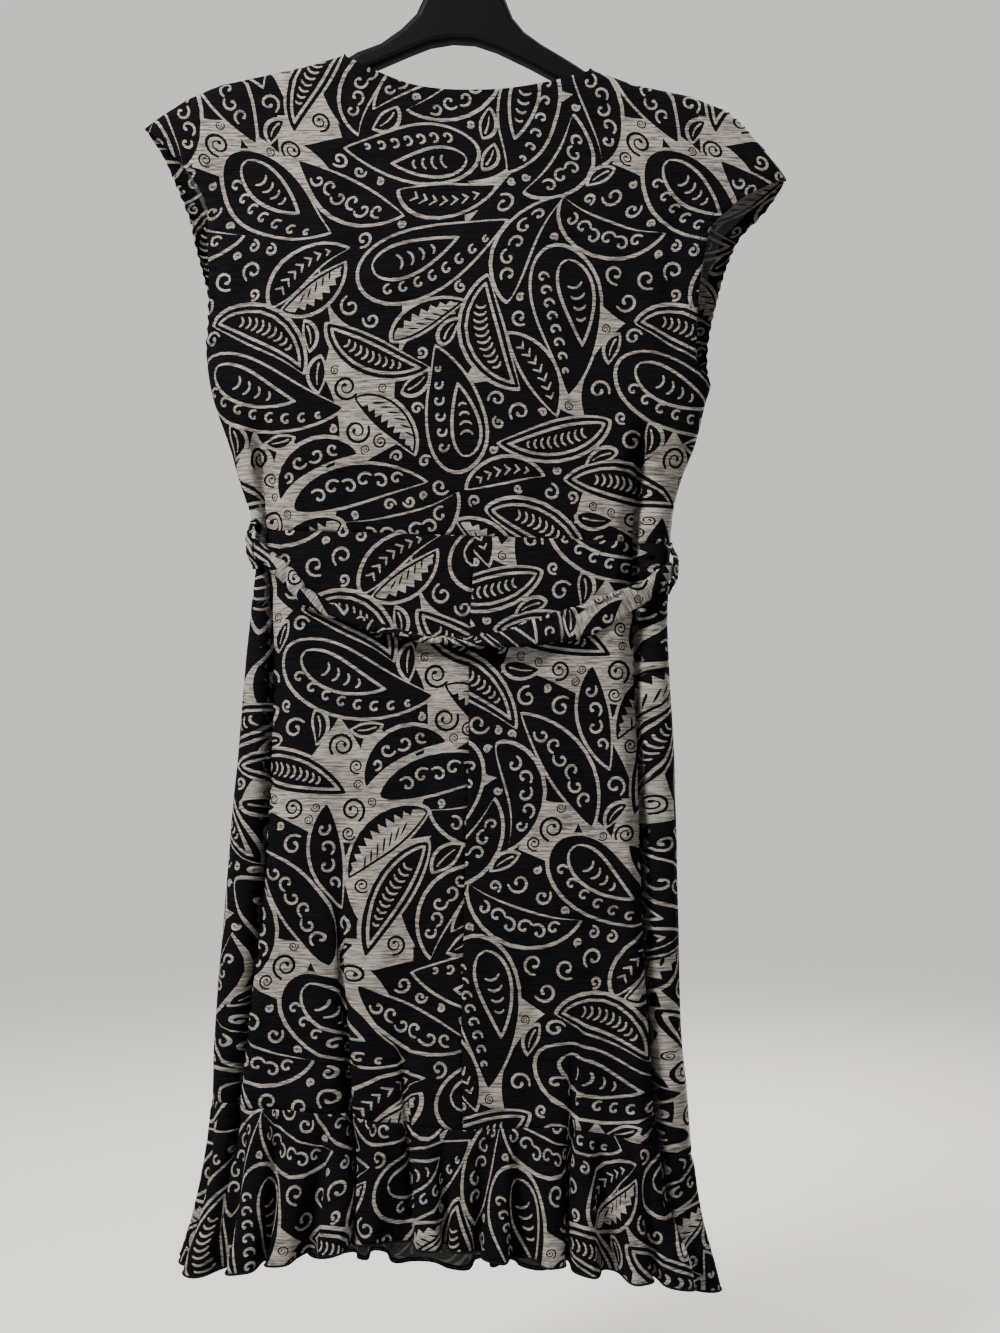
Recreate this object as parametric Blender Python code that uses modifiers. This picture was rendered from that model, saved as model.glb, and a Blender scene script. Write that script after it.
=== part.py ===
"""A knee-length wrap dress with cap sleeves and a ruffled hem, hanging on a moulded hanger.

Frame: metres, +Z up, +X to the wearer's right, the dress's back towards -Y and its
crossed fronts towards +Y. The origin is the inside top of the hanger's hook.
All sizes below are millimetres.

The cloth follows one closed tube. A height z and an angle across the body give a point
of it: -90 degrees is the left side seam, 0 the middle and +90 the right side seam, once
on the back face and once on the front face.
"""

import math

import bmesh
import bpy
import numpy as np

MM = 0.001
BACK, FRONT = -1, 1

# Cloth
WALL = 1.6
SEAM_GAP = 0.3
CROSS_SEAM_GAP = 0.7
LAYER_STEP = 4.5
LAYER_LEAD, LAYER_EASE = 20.0, 25.0

# The tube's sections: height, left and right extent, depth of the back and of the front
# from the side seams, and squareness (2 is an ellipse).
SECTIONS = (
    # z, left, right, back, front, square
    (-130, -285, 275, 16, 16, 2.8),
    (-200, -276, 270, 19, 19, 2.8),
    (-241, -247, 263, 23, 23, 2.8),
    (-259, -237, 252, 25, 25, 2.8),
    (-284, -229, 229, 28, 28, 2.8),
    (-305, -225, 217, 30, 30, 2.9),
    (-339, -219, 208, 32, 32, 2.9),
    (-375, -215, 200, 33, 33, 3.0),
    (-410, -211, 196, 34, 34, 3.0),
    (-427, -207, 191, 34, 34, 3.0),
    (-462, -195, 182, 33, 33, 3.0),
    (-490, -187, 171, 31, 31, 3.0),
    (-515, -179, 165, 30, 30, 3.0),
    (-535, -176, 163, 29, 29, 3.0),
    (-560, -175, 162, 30, 30, 3.0),
    (-600, -178, 160, 31, 31, 3.1),
    (-653, -183, 162, 34, 34, 3.2),
    (-717, -188, 166, 36, 37, 3.2),
    (-776, -194, 167, 39, 40, 3.2),
    (-858, -200, 169, 42, 43, 3.2),
    (-934, -206, 171, 44, 46, 3.2),
    (-993, -209, 176, 46, 48, 3.2),
    (-1040, -213, 180, 47, 50, 3.2),
    (-1090, -221, 184, 49, 53, 3.2),
    (-1131, -231, 192, 51, 55, 3.2),
    (-1170, -238, 199, 52, 56, 3.2),
)

# Shoulder seams and back neckline, from the left cap's tip to the right cap's tip.
TOP_EDGE = (
    # x, z
    (-265, -202),
    (-252, -193),
    (-229, -179),
    (-203, -168),
    (-165, -160),
    (-128, -152),
    (-103, -144),
    (-101, -146.5),
    (-92, -151.5),
    (-77, -159),
    (-45, -171),
    (0, -175),
    (30, -174),
    (62, -169),
    (85, -163),
    (97, -158.5),
    (99, -156),
    (134, -168),
    (178, -177),
    (210, -189),
    (222, -200),
    (239, -219),
    (258, -243),
)
NECK_LEFT, NECK_RIGHT = -103, 99
SHOULDER_ROUND, SHOULDER_SQUARE = 13.0, 2.6
# Across the neck the cloth stands clear of the hanger's collar, as if the line rose over it.
NECK_RISE, NECK_RUN = 7.0, 6.0

# Armhole edges from the cap's tip down to the underarm.
ARMHOLE_LEFT = (
    # z, back edge x, front edge x
    (-202, -265, -265),
    (-218, -248, -254),
    (-243, -226, -242),
    (-270, -213, -231),
    (-296, -212, -225),
    (-336, -210, -216),
    (-369, -211, -212),
    (-384, -213.9, -213.9),
)
ARMHOLE_RIGHT = (
    # z, back edge x, front edge x
    (-243, 258, 258),
    (-261, 222, 246),
    (-273, 208, 235),
    (-284, 196, 224),
    (-303, 190, 214),
    (-336, 185, 204),
    (-390, 182, 195),
    (-411, 195.8, 195.8),
)

# The share of a bodice side's rows that run along the armhole; the others follow the seam.
ARMHOLE_PART = 0.6

# Rows of the bodice panels, as distances below the shoulder seam: close together where
# the cloth rounds over the hanger's arm.
BODICE_ROWS = (0, 0.25, 0.8, 2.2, 5, 9, 14, 28, 48, 72, 100, 130, 160, 192, 226, 262, 298, 334)

# Horizontal seams and hems: share of the way from the middle (0) to a side seam (1).
EDGES = {
    # name: rows of share, back z, front z
    "waist": ((-1, -530, -530), (0, -536, -536), (1, -542, -542)),
    "ruffle_seam": (
        (-1, -992, -992),
        (-0.5, -994, -1018),
        (0, -1006, -1035),
        (0.5, -1008, -1042),
        (1, -1040, -1040),
    ),
    "hem": (
        (-1, -1131, -1131),
        (-0.75, -1123, -1138),
        (-0.5, -1104, -1143),
        (-0.25, -1097, -1147),
        (0, -1102, -1150),
        (0.3, -1108, -1152),
        (0.6, -1122, -1153),
        (0.8, -1138, -1152),
        (1, -1149, -1149),
    ),
}

# The centre-back seam of the skirt, as a share of the way to the right side seam.
CENTRE_BACK = 0.055

# The wrap: the over front hangs from the right side seam, the under front from the left.
WRAP_SHARE = 0.74
# The under front eases inwards over this much of its width, just before the overlap.
OVERLAP_START, OVERLAP_EASE = 0.14, 0.10
# The under ruffle hangs this much shorter and this much deeper at its hem.
UNDER_HEM_SHORTER, UNDER_HEM_DEEPER = 5, 2.5

# Long folds: a trough that follows three points down one face.
FOLDS = (
    # face, z and x at the top, the middle and the bottom, depth, half width
    (BACK, (-425, -640, -1060), (-168, -158, -197), 13, 9),
    (BACK, (-435, -560, -1040), (138, 130, 154), 13, 9),
    (BACK, (-690, -840, -1080), (-98, -103, -88), 6, 11),
    (BACK, (-850, -930, -1010), (52, 53, 60), 4, 10),
    (BACK, (-330, -420, -500), (-120, -100, -96), 3, 20),
    (BACK, (-330, -420, -500), (110, 88, 84), 3, 20),
    (FRONT, (-440, -640, -1060), (-160, -166, -192), 6, 10),
    (FRONT, (-440, -620, -1050), (148, 144, 161), 6, 10),
    (FRONT, (-600, -820, -1100), (-60, -72, -86), 5, 18),
    (FRONT, (-640, -840, -1100), (50, 62, 70), 5, 18),
)
FOLD_FADE = 55.0

# Ruffle: where each wave's crest lies, as a share of the way to the side seam, and how
# far the wave swings at the hem. A crest at each side seam is added.
RUFFLE_BACK = (
    # share, swing
    (-0.86, 8.0),
    (-0.70, 9.0),
    (-0.545, 7.0),
    (-0.40, 9.5),
    (-0.25, 6.5),
    (-0.09, 7.5),
    (0.06, 8.0),
    (0.20, 6.5),
    (0.345, 8.0),
    (0.49, 9.0),
    (0.64, 9.5),
    (0.80, 8.0),
)
RUFFLE_FRONT = (
    # share, swing
    (-0.85, 8.5),
    (-0.69, 8.0),
    (-0.53, 9.0),
    (-0.38, 7.5),
    (-0.22, 9.0),
    (-0.07, 7.5),
    (0.09, 8.5),
    (0.24, 8.0),
    (0.40, 9.0),
    (0.55, 7.0),
    (0.70, 9.0),
    (0.85, 8.0),
)
SIDE_SWING = 7.0
RUFFLE_START = 0.12

# Belt: where its middle line runs, the height and depth of its folded section.
BELT = (
    # face, share, z, height, depth
    (FRONT, 0.19, -572, 15, 6),
    (FRONT, 0.34, -576, 18, 5),
    (FRONT, 0.52, -577, 21, 4),
    (FRONT, 0.70, -572, 19, 4),
    (FRONT, 0.86, -566, 16, 4),
    (FRONT, 0.94, -563, 15, 4),
    (BACK, 1.00, -561, 14, 4),
    (BACK, 0.95, -562, 14, 4),
    (BACK, 0.89, -569, 14, 5),
    (BACK, 0.82, -580, 15, 5),
    (BACK, 0.70, -592, 21, 4),
    (BACK, 0.56, -604, 27, 4),
    (BACK, 0.38, -612, 24, 4),
    (BACK, 0.21, -619, 14, 7),
    (BACK, 0.03, -621, 7, 12),
    (BACK, -0.27, -614, 6, 12),
    (BACK, -0.47, -602, 7, 11),
    (BACK, -0.58, -594, 12, 10),
    (BACK, -0.67, -585, 14, 9),
    (BACK, -0.79, -563, 14, 8),
    (BACK, -0.89, -549, 14, 7),
    (BACK, -0.95, -543, 13, 5),
    (BACK, -1.00, -543, 13, 4),
    (FRONT, -0.94, -545, 13, 4),
    (FRONT, -0.86, -550, 14, 5),
    (FRONT, -0.66, -562, 19, 4),
    (FRONT, -0.40, -571, 21, 4),
    (FRONT, -0.15, -573, 17, 5),
    (FRONT, 0.00, -572, 15, 6),
)
BELT_STATIONS = 76
BELT_SIDES = 8
BELT_CLEAR = 1.0

KNOT_SHARE, KNOT_Z = 0.095, -572
KNOT_SIZE = (30, 20, 30)
KNOT_CLEAR, KNOT_PINCH = 0.3, 0.16

TAILS = {
    # name: rows of x, z, how far it stands off the skirt, width, turn in degrees
    "belt_tail_long": (
        (14, -588.1, 9.5, 10, 0),
        (20, -640, 8, 22, 12),
        (27, -710, 6, 27, -8),
        (34, -790, 7, 28, 10),
        (38, -860, 9, 28, -6),
        (40, -925, 9, 28, 8),
    ),
    "belt_tail_short": (
        (2.5, -585.7, 9.5, 9, 0),
        (-10, -640, 9, 21, -14),
        (-20, -700, 7, 26, 8),
        (-28, -770, 7, 27, -10),
        (-32, -835, 9, 27, 4),
    ),
}
TAIL_THICK = 2.2
TAIL_STATIONS = 15

LOOPS = {
    # name: share on the back, top z, bottom z
    "belt_loop_left": (-0.945, -523, -563),
    "belt_loop_right": (0.955, -540, -582),
}
LOOP_WIDTH, LOOP_THICK = 7.0, 1.2
LOOP_STATIONS = 11
# How far a loop's ends stand off the cloth, and its middle beyond that.
LOOP_END_CLEAR, LOOP_RISE, LOOP_ARCH = 0.35, 5.6, 0.6

# Hanger
ARM_THICK = 17.0
ARM_BEVEL = 5.0
ARM_CLEAR = 0.6
ARM_TIPS = (-234, 223)
HANGER_TOP = (
    # x, z of the neck's outline above the collar, left to right
    (-101.5, -144.9),
    (-92, -139),
    (-73, -132),
    (-56, -120),
    (-44, -108),
    (-38, -95),
    (-31, -78),
    (-22, -64),
    (-10, -56),
    (7, -55),
    (18, -62),
    (25, -77),
    (29, -95),
    (36, -112),
    (45, -123),
    (59, -133),
    (76, -143),
    (88, -150.5),
    (97.5, -156.9),
)
HANGER_UNDER = (
    # x, z of the lower edge, right to left
    (222, -214),
    (196, -203),
    (150, -190),
    (110, -177),
    (73, -163),
    (49, -150),
    (22, -137),
    (4, -131),
    (-14, -130),
    (-32, -133),
    (-50, -140),
    (-80, -153),
    (-110, -164),
    (-160, -177),
    (-205, -184),
    (-233, -196),
)
HOOK_WIRE = 3.6
HOOK_RADIUS = 20.0
# The wire's centre line out of the neck, up to where the round of the hook begins.
HOOK_STEM = (
    # x, z
    (-1.5, -54.2),
    (-1.0, -50.0),
    (0.0, -45.5),
)
HOOK_START, HOOK_TURN, HOOK_STEPS = -78, 258, 16

# Colours: black ink over grey heather reads as a dark grey at this scale.
CLOTH_COLOUR = (0.09, 0.088, 0.085, 1.0)
UNDER_COLOUR = (0.12, 0.118, 0.115, 1.0)
BELT_COLOUR = (0.07, 0.069, 0.067, 1.0)
PLASTIC_COLOUR = (0.012, 0.012, 0.013, 1.0)
STEEL_COLOUR = (0.62, 0.62, 0.62, 1.0)

SECTION_TABLE = np.array(SECTIONS[::-1], float)
LEVELS = np.arange(-1175.0, -125.0, 5.0)
ANGLES = np.linspace(-math.pi / 2, math.pi / 2, 361)
SHARE_STEPS = 240


def through(xs, ys, x):
    """A smooth curve through the points (xs, ys), read at x."""
    xs, ys = np.asarray(xs, float), np.asarray(ys, float)
    x = np.clip(x, xs[0], xs[-1])
    step = np.diff(ys) / np.diff(xs)
    slope = np.concatenate([step[:1], (step[1:] + step[:-1]) / 2, step[-1:]])
    turn = np.concatenate([[False], step[1:] * step[:-1] <= 0, [False]])
    slope[turn] = 0
    i = np.clip(np.searchsorted(xs, x, side="right") - 1, 0, len(xs) - 2)
    width = xs[i + 1] - xs[i]
    t = (x - xs[i]) / width
    return (
        ys[i] * (1 + 2 * t) * (1 - t) ** 2
        + slope[i] * width * t * (1 - t) ** 2
        + ys[i + 1] * t * t * (3 - 2 * t)
        + slope[i + 1] * width * t * t * (t - 1)
    )


def ease(t):
    t = np.clip(t, 0, 1)
    return t * t * (3 - 2 * t)


def section(face, z):
    """Centre, half width, depth and squareness of the tube at height z."""
    left = through(SECTION_TABLE[:, 0], SECTION_TABLE[:, 1], z)
    right = through(SECTION_TABLE[:, 0], SECTION_TABLE[:, 2], z)
    column = 3 if face == BACK else 4
    depth = through(SECTION_TABLE[:, 0], SECTION_TABLE[:, column], z)
    square = through(SECTION_TABLE[:, 0], SECTION_TABLE[:, 5], z)
    return (left + right) / 2, (right - left) / 2, depth, square


def shoulder_line(x):
    """Height of the shoulder seams at x, carried across the neck over the hanger's collar."""
    rows = [row for row in TOP_EDGE if not NECK_LEFT < row[0] < NECK_RIGHT]
    ends = {row[0]: row[1] for row in rows}
    rows.append((NECK_LEFT + NECK_RUN, ends[NECK_LEFT] + NECK_RISE))
    rows.append((NECK_RIGHT - NECK_RUN, ends[NECK_RIGHT] + NECK_RISE))
    rows.sort()
    return np.interp(x, [row[0] for row in rows], [row[1] for row in rows])


def form(face, angle, z):
    """The smooth tube, without folds: an array of points."""
    centre, half, depth, square = section(face, z)
    t = np.clip(np.sin(angle), -1, 1)
    x = centre + half * t
    bulge = (1 - np.abs(t) ** square) ** (1 / square)
    drop = np.clip((shoulder_line(x) - z) / SHOULDER_ROUND, 0, 1)
    y = face * depth * bulge * (1 - (1 - drop) ** SHOULDER_SQUARE) ** (1 / SHOULDER_SQUARE)
    return np.stack([x, y, z + 0 * x], axis=-1)


def angle_of(face, x, z):
    centre, half, _, _ = section(face, z)
    return np.arcsin(np.clip((x - centre) / half, -1, 1))


def arc_rows(face):
    """For each level, the length of cloth from the left side seam to each angle."""
    z, angle = np.meshgrid(LEVELS, ANGLES, indexing="ij")
    points = form(face, angle, z)
    steps = np.linalg.norm(np.diff(points[..., :2], axis=1), axis=-1)
    return np.concatenate([np.zeros((len(LEVELS), 1)), np.cumsum(steps, axis=1)], axis=1)


ARCS = {face: arc_rows(face) for face in (BACK, FRONT)}


def read_table(table, rows, columns):
    """Bilinear reading of a table at fractional rows and columns."""
    rows = np.clip(rows, 0, table.shape[0] - 1.001)
    columns = np.clip(columns, 0, table.shape[1] - 1.001)
    i, j = rows.astype(int), columns.astype(int)
    a, b = rows - i, columns - j
    low = table[i, j] * (1 - b) + table[i, j + 1] * b
    high = table[i + 1, j] * (1 - b) + table[i + 1, j + 1] * b
    return low * (1 - a) + high * a


def arc_at(face, angle, z):
    """Cloth length from the left side seam to this angle at height z."""
    row = (z - LEVELS[0]) / (LEVELS[1] - LEVELS[0])
    column = (angle - ANGLES[0]) / (ANGLES[1] - ANGLES[0])
    return read_table(ARCS[face], row, column)


def girth(face, z):
    return arc_at(face, np.full(np.shape(z), ANGLES[-1]), z)


def share_table(face):
    """For each level, the angle at each share (-1 to 1) of the cloth's length."""
    shares = np.linspace(0, 1, SHARE_STEPS + 1)
    return np.array([np.interp(shares * row[-1], row, ANGLES) for row in ARCS[face]])


SHARES = {face: share_table(face) for face in (BACK, FRONT)}


def angle_at(face, share, z):
    row = (z - LEVELS[0]) / (LEVELS[1] - LEVELS[0])
    return read_table(SHARES[face], row, (share + 1) / 2 * SHARE_STEPS)


def share_at(face, angle, z):
    return 2 * arc_at(face, angle, z) / girth(face, z) - 1


def edge_z(name, face, share):
    rows = np.array(EDGES[name], float)
    return through(rows[:, 0], rows[:, 1 if face == BACK else 2], share)


def fold_depth(face, angle, z):
    """How far the long folds push the cloth inwards."""
    total = np.zeros(np.shape(angle))
    for side, heights, places, depth, width in FOLDS:
        if side != face:
            continue
        heights = heights[::-1]
        places = places[::-1]
        place = through(heights, places, z)
        away = arc_at(face, angle, z) - arc_at(face, angle_of(face, place, z), z)
        fade = ease((heights[-1] - z) / FOLD_FADE) * ease((z - heights[0]) / FOLD_FADE)
        total += depth * fade * np.exp(-((away / width) ** 2))
    return total


def ruffle_swing(face, share, down):
    """The ruffle's in and out, from 0 at its seam (down = 0) to its hem (down = 1)."""
    rows = RUFFLE_BACK if face == BACK else RUFFLE_FRONT
    crests = [-1.0] + [row[0] for row in rows] + [1.0]
    swings = [SIDE_SWING] + [row[1] for row in rows] + [SIDE_SWING]
    phase = through(crests, 2 * math.pi * np.arange(len(crests)), share)
    swing = through(crests, swings, share)
    return swing * np.cos(phase) * (RUFFLE_START + (1 - RUFFLE_START) * down**0.8) * (down > 0)


def with_normals(surface, angle, z):
    """Points of a surface and its outward unit normals."""
    points = surface(angle, z)
    turn, rise = 0.004, 0.5
    inside = np.clip(angle, ANGLES[0] + turn, ANGLES[-1] - turn)
    across = surface(inside + turn, z) - surface(inside - turn, z)
    along = surface(angle, z + rise) - surface(angle, z - rise)
    normal = np.cross(across, along)
    normal /= np.linalg.norm(normal, axis=-1, keepdims=True)
    return points, normal


def cloth(face, angle, z, inward=0.0, ruffle=0.0):
    """Points on the cloth's inner surface, with its folds."""

    def bare(a, h):
        return form(face, a, h)

    points, normal = with_normals(bare, angle, z)
    normal = -face * normal
    move = ruffle - inward - fold_depth(face, angle, z)
    return points + normal * np.broadcast_to(move, np.shape(angle))[..., None]


def coons(top, bottom, left, right, across, down):
    """Fills four edges, each an (angle, z) pair as a function of a share from 0 to 1."""
    a, b = across, down
    filled = []
    for k in (0, 1):
        rows = (1 - b) * top(a)[k] + b * bottom(a)[k]
        columns = (1 - a) * left(b)[k] + a * right(b)[k]
        zero, one = np.zeros(1), np.ones(1)
        corners = (
            (1 - a) * (1 - b) * top(zero)[k]
            + a * (1 - b) * top(one)[k]
            + (1 - a) * b * bottom(zero)[k]
            + a * b * bottom(one)[k]
        )
        filled.append(rows + columns - corners)
    return filled


def material(name, colour, roughness, metallic=0.0):
    made = bpy.data.materials.new(name)
    made.use_nodes = True
    shader = made.node_tree.nodes["Principled BSDF"]
    shader.inputs["Base Color"].default_value = colour
    shader.inputs["Roughness"].default_value = roughness
    shader.inputs["Metallic"].default_value = metallic
    made.diffuse_color = colour
    return made


def add(name, mesh, collection, finish):
    made = bpy.data.objects.new(name, mesh)
    collection.objects.link(made)
    mesh.materials.append(finish)
    mesh.shade_smooth()
    return made


def panel(name, columns, rows, place, collection, finish):
    """A piece of cloth: a grid laid on the tube by place(across, down), then given its wall."""
    grid = bmesh.new()
    bmesh.ops.create_grid(grid, x_segments=columns, y_segments=rows, size=0.5)
    flat = np.array([vertex.co[:] for vertex in grid.verts])
    across, down = flat[:, 0] + 0.5, 0.5 - flat[:, 1]
    points, outward = place(across, down)
    for vertex, point in zip(grid.verts, points * MM):
        vertex.co = point
    grid.normal_update()
    facing = sum(vertex.normal.y for vertex in grid.verts) * outward
    if facing < 0:
        bmesh.ops.reverse_faces(grid, faces=grid.faces)
    mesh = bpy.data.meshes.new(name)
    grid.to_mesh(mesh)
    grid.free()
    made = add(name, mesh, collection, finish)
    wall = made.modifiers.new("Wall", "SOLIDIFY")
    wall.thickness = WALL * MM
    wall.offset = 1.0
    return made


def armhole(rows, face):
    table = np.array(rows, float)
    return table[:, 0], table[:, 1 if face == BACK else 2]


def side_edge(rows, face, side, down, waist_z):
    """Armhole for the upper part of a side, then the side seam down to the waist."""
    heights, places = armhole(rows, face)
    seam = (down - ARMHOLE_PART) / (1 - ARMHOLE_PART)
    z = np.where(
        down < ARMHOLE_PART,
        np.interp(down / ARMHOLE_PART, np.linspace(0, 1, len(heights)), heights),
        heights[-1] + (waist_z - heights[-1]) * seam,
    )
    x = np.interp(-z, -heights, places)
    angle = np.where(down < ARMHOLE_PART, angle_of(face, x, z), side * math.pi / 2)
    return angle, z


def bodice_share(down):
    """Evenly numbered rows, moved to the distances of BODICE_ROWS."""
    rows = np.array(BODICE_ROWS, float)
    return np.interp(down * (len(rows) - 1), np.arange(len(rows)), rows / rows[-1])


def bodice_back(across, down):
    down = bodice_share(down)
    edge_x = [row[0] for row in TOP_EDGE]
    edge_height = [row[1] for row in TOP_EDGE]

    def top(a):
        x = np.interp(a * (len(edge_x) - 1), np.arange(len(edge_x)), edge_x)
        z = np.interp(x, edge_x, edge_height)
        return angle_of(BACK, x, z), z

    def bottom(a):
        angle = (2 * a - 1) * math.pi / 2
        share = share_at(BACK, angle, edge_z("waist", BACK, 2 * a - 1))
        return angle, edge_z("waist", BACK, share) + CROSS_SEAM_GAP / 2

    def left(b):
        return side_edge(ARMHOLE_LEFT, BACK, -1, b, edge_z("waist", BACK, -1.0))

    def right(b):
        return side_edge(ARMHOLE_RIGHT, BACK, 1, b, edge_z("waist", BACK, 1.0))

    angle, z = coons(top, bottom, left, right, across, down)
    angle = np.clip(angle, -math.pi / 2, math.pi / 2)
    points = cloth(BACK, angle, z)
    points[:, 1] = np.minimum(points[:, 1], -SEAM_GAP / 2)
    return points, -1


def wrap_line(over):
    """Neckline of one front: from its shoulder's neck point down to the waist."""
    start = NECK_RIGHT if over else NECK_LEFT
    side = -1 if over else 1
    z0 = float(shoulder_line(np.array([float(start)]))[0])
    z1 = float(edge_z("waist", FRONT, side * WRAP_SHARE))
    angle = angle_at(FRONT, np.array([side * WRAP_SHARE]), np.array([z1]))
    x1 = float(form(FRONT, angle, z1)[0, 0])
    return (start, z0), (x1, z1)


def inside_over(x, z):
    """How far a point lies inside the over front's neckline, in mm."""
    (x0, z0), (x1, z1) = wrap_line(True)
    length = math.hypot(x1 - x0, z1 - z0)
    return ((x - x0) * (z1 - z0) - (z - z0) * (x1 - x0)) / -length


def bodice_front(over):
    side = 1 if over else -1
    (x0, z0), (x1, z1) = wrap_line(over)
    rows = ARMHOLE_RIGHT if over else ARMHOLE_LEFT
    seam_x = sorted((row[0] for row in TOP_EDGE if side * row[0] >= side * x0), key=abs)

    def place(across, down):
        # across runs from the neckline (0) to the armhole and side seam (1)
        down = bodice_share(down)

        def top(a):
            x = np.interp(a * (len(seam_x) - 1), np.arange(len(seam_x)), seam_x)
            z = shoulder_line(x)
            return angle_of(FRONT, x, z), z

        def bottom(a):
            start = angle_at(FRONT, np.array([-side * WRAP_SHARE]), np.array([z1]))
            angle = start + (side * math.pi / 2 - start) * a
            share = share_at(FRONT, angle, z1 + 0 * a)
            return angle, edge_z("waist", FRONT, share) + CROSS_SEAM_GAP / 2

        def inner(b):
            x = x0 + (x1 - x0) * b
            z = z0 + (z1 - z0) * b
            return angle_of(FRONT, x, z), z

        def outer(b):
            return side_edge(rows, FRONT, side, b, edge_z("waist", FRONT, float(side)))

        angle, z = coons(top, bottom, inner, outer, across, down)
        angle = np.clip(angle, -math.pi / 2, math.pi / 2)
        inward = 0.0
        if not over:
            x = form(FRONT, angle, z)[:, 0]
            lead = inside_over(x, z) + LAYER_LEAD + LAYER_EASE
            inward = LAYER_STEP * ease(lead / LAYER_EASE)
        points = cloth(FRONT, angle, z, inward)
        points[:, 1] = np.maximum(points[:, 1], SEAM_GAP / 2)
        return points, 1

    return place


def layer_inward(over, share, deep):
    """The under front lies inside the over front where they overlap."""
    if over:
        return 0.0
    return deep * ease((share + WRAP_SHARE + OVERLAP_START) / OVERLAP_EASE)


def skirt_piece(face, low, high, over=True):
    """A skirt piece between two shares of the way across its face."""

    def place(across, down):
        # columns keep even angles, which crowd towards the side seams
        share = low + (high - low) * across
        for _ in range(4):
            top = edge_z("waist", face, share) - CROSS_SEAM_GAP / 2
            bottom = edge_z("ruffle_seam", face, share) + CROSS_SEAM_GAP / 2
            z = top + (bottom - top) * down
            start = angle_at(face, np.full(len(z), low), z)
            stop = angle_at(face, np.full(len(z), high), z)
            angle = start + (stop - start) * across
            share = share_at(face, angle, z)
        points = cloth(face, angle, z, layer_inward(over, share, LAYER_STEP))
        if low == -1 or high == 1:
            limit = SEAM_GAP / 2
            points[:, 1] = face * np.maximum(face * points[:, 1], limit)
        return points, face

    return place


def seam_shift(points, side):
    """Half a seam gap off the centre-back seam."""
    points[:, 0] += side * SEAM_GAP / 2
    return points


def skirt_back(side):
    low, high = (-1, CENTRE_BACK) if side < 0 else (CENTRE_BACK, 1)
    piece = skirt_piece(BACK, low, high)

    def place(across, down):
        points, outward = piece(across, down)
        return seam_shift(points, side), outward

    return place



def ruffle_piece(face, low, high, over=True):
    def place(across, down):
        share = low + (high - low) * across
        top = edge_z("ruffle_seam", face, share) - CROSS_SEAM_GAP / 2
        bottom = edge_z("hem", face, share)
        if not over:
            bottom = bottom + UNDER_HEM_SHORTER
        z = top + (bottom - top) * down
        angle = angle_at(face, share, z)
        deep = layer_inward(over, share, LAYER_STEP + UNDER_HEM_DEEPER * down)
        points = cloth(face, angle, z, deep, ruffle_swing(face, share, down))
        if low == -1 or high == 1:
            points[:, 1] = face * np.maximum(face * points[:, 1], SEAM_GAP / 2)
        return points, face

    return place


def tube(name, rings, collection, finish):
    """A closed solid through rings of points, with flat ends."""
    grid = bmesh.new()
    loops = [[grid.verts.new(point) for point in ring * MM] for ring in rings]
    count = len(loops[0])
    for low, high in zip(loops, loops[1:]):
        for k in range(count):
            following = (k + 1) % count
            grid.faces.new((low[k], low[following], high[following], high[k]))
    grid.faces.new(loops[0][::-1])
    grid.faces.new(loops[-1])
    bmesh.ops.recalc_face_normals(grid, faces=grid.faces)
    mesh = bpy.data.meshes.new(name)
    grid.to_mesh(mesh)
    grid.free()
    return add(name, mesh, collection, finish)


def belt_path():
    """Middle line, outward normal, height and depth of the belt, from the knot's right
    side round the back to its left side."""
    points, normals, sizes = [], [], []
    for face, share, z, height, depth in BELT:
        level = np.array([float(z)])
        angle = angle_at(face, np.array([float(share)]), level)

        def bare(a, h, face=face):
            return form(face, a, h)

        point, normal = with_normals(bare, angle, level)
        normal = -face * normal[0]
        normal[2] = 0
        normal /= np.linalg.norm(normal)
        points.append(point[0] + normal * (WALL + BELT_CLEAR + depth / 2))
        normals.append(normal)
        sizes.append((height, depth))
    points, normals, sizes = np.array(points), np.array(normals), np.array(sizes, float)
    run = np.concatenate([[0], np.cumsum(np.linalg.norm(np.diff(points, axis=0), axis=1))])
    at = np.linspace(0, run[-1], BELT_STATIONS)
    line = np.stack([through(run, points[:, k], at) for k in range(3)], axis=-1)
    facing = np.stack([np.interp(at, run, normals[:, k]) for k in range(3)], axis=-1)
    facing /= np.linalg.norm(facing, axis=1, keepdims=True)
    size = np.stack([np.interp(at, run, sizes[:, k]) for k in range(2)], axis=-1)
    return line, facing, size


def belt_rings():
    line, facing, size = belt_path()
    along = np.gradient(line, axis=0)
    along /= np.linalg.norm(along, axis=1, keepdims=True)
    rings = []
    for point, outward, direction, (height, depth) in zip(line, facing, along, size):
        upright = np.cross(outward, direction)
        upright /= np.linalg.norm(upright)
        outward = np.cross(direction, upright)
        ring = []
        for k in range(BELT_SIDES):
            turn = 2 * math.pi * (k + 0.5) / BELT_SIDES
            c, s = math.cos(turn), math.sin(turn)
            ring.append(point + upright * height / 2 * c + outward * depth / 2 * s)
        rings.append(np.array(ring))
    return rings


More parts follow.
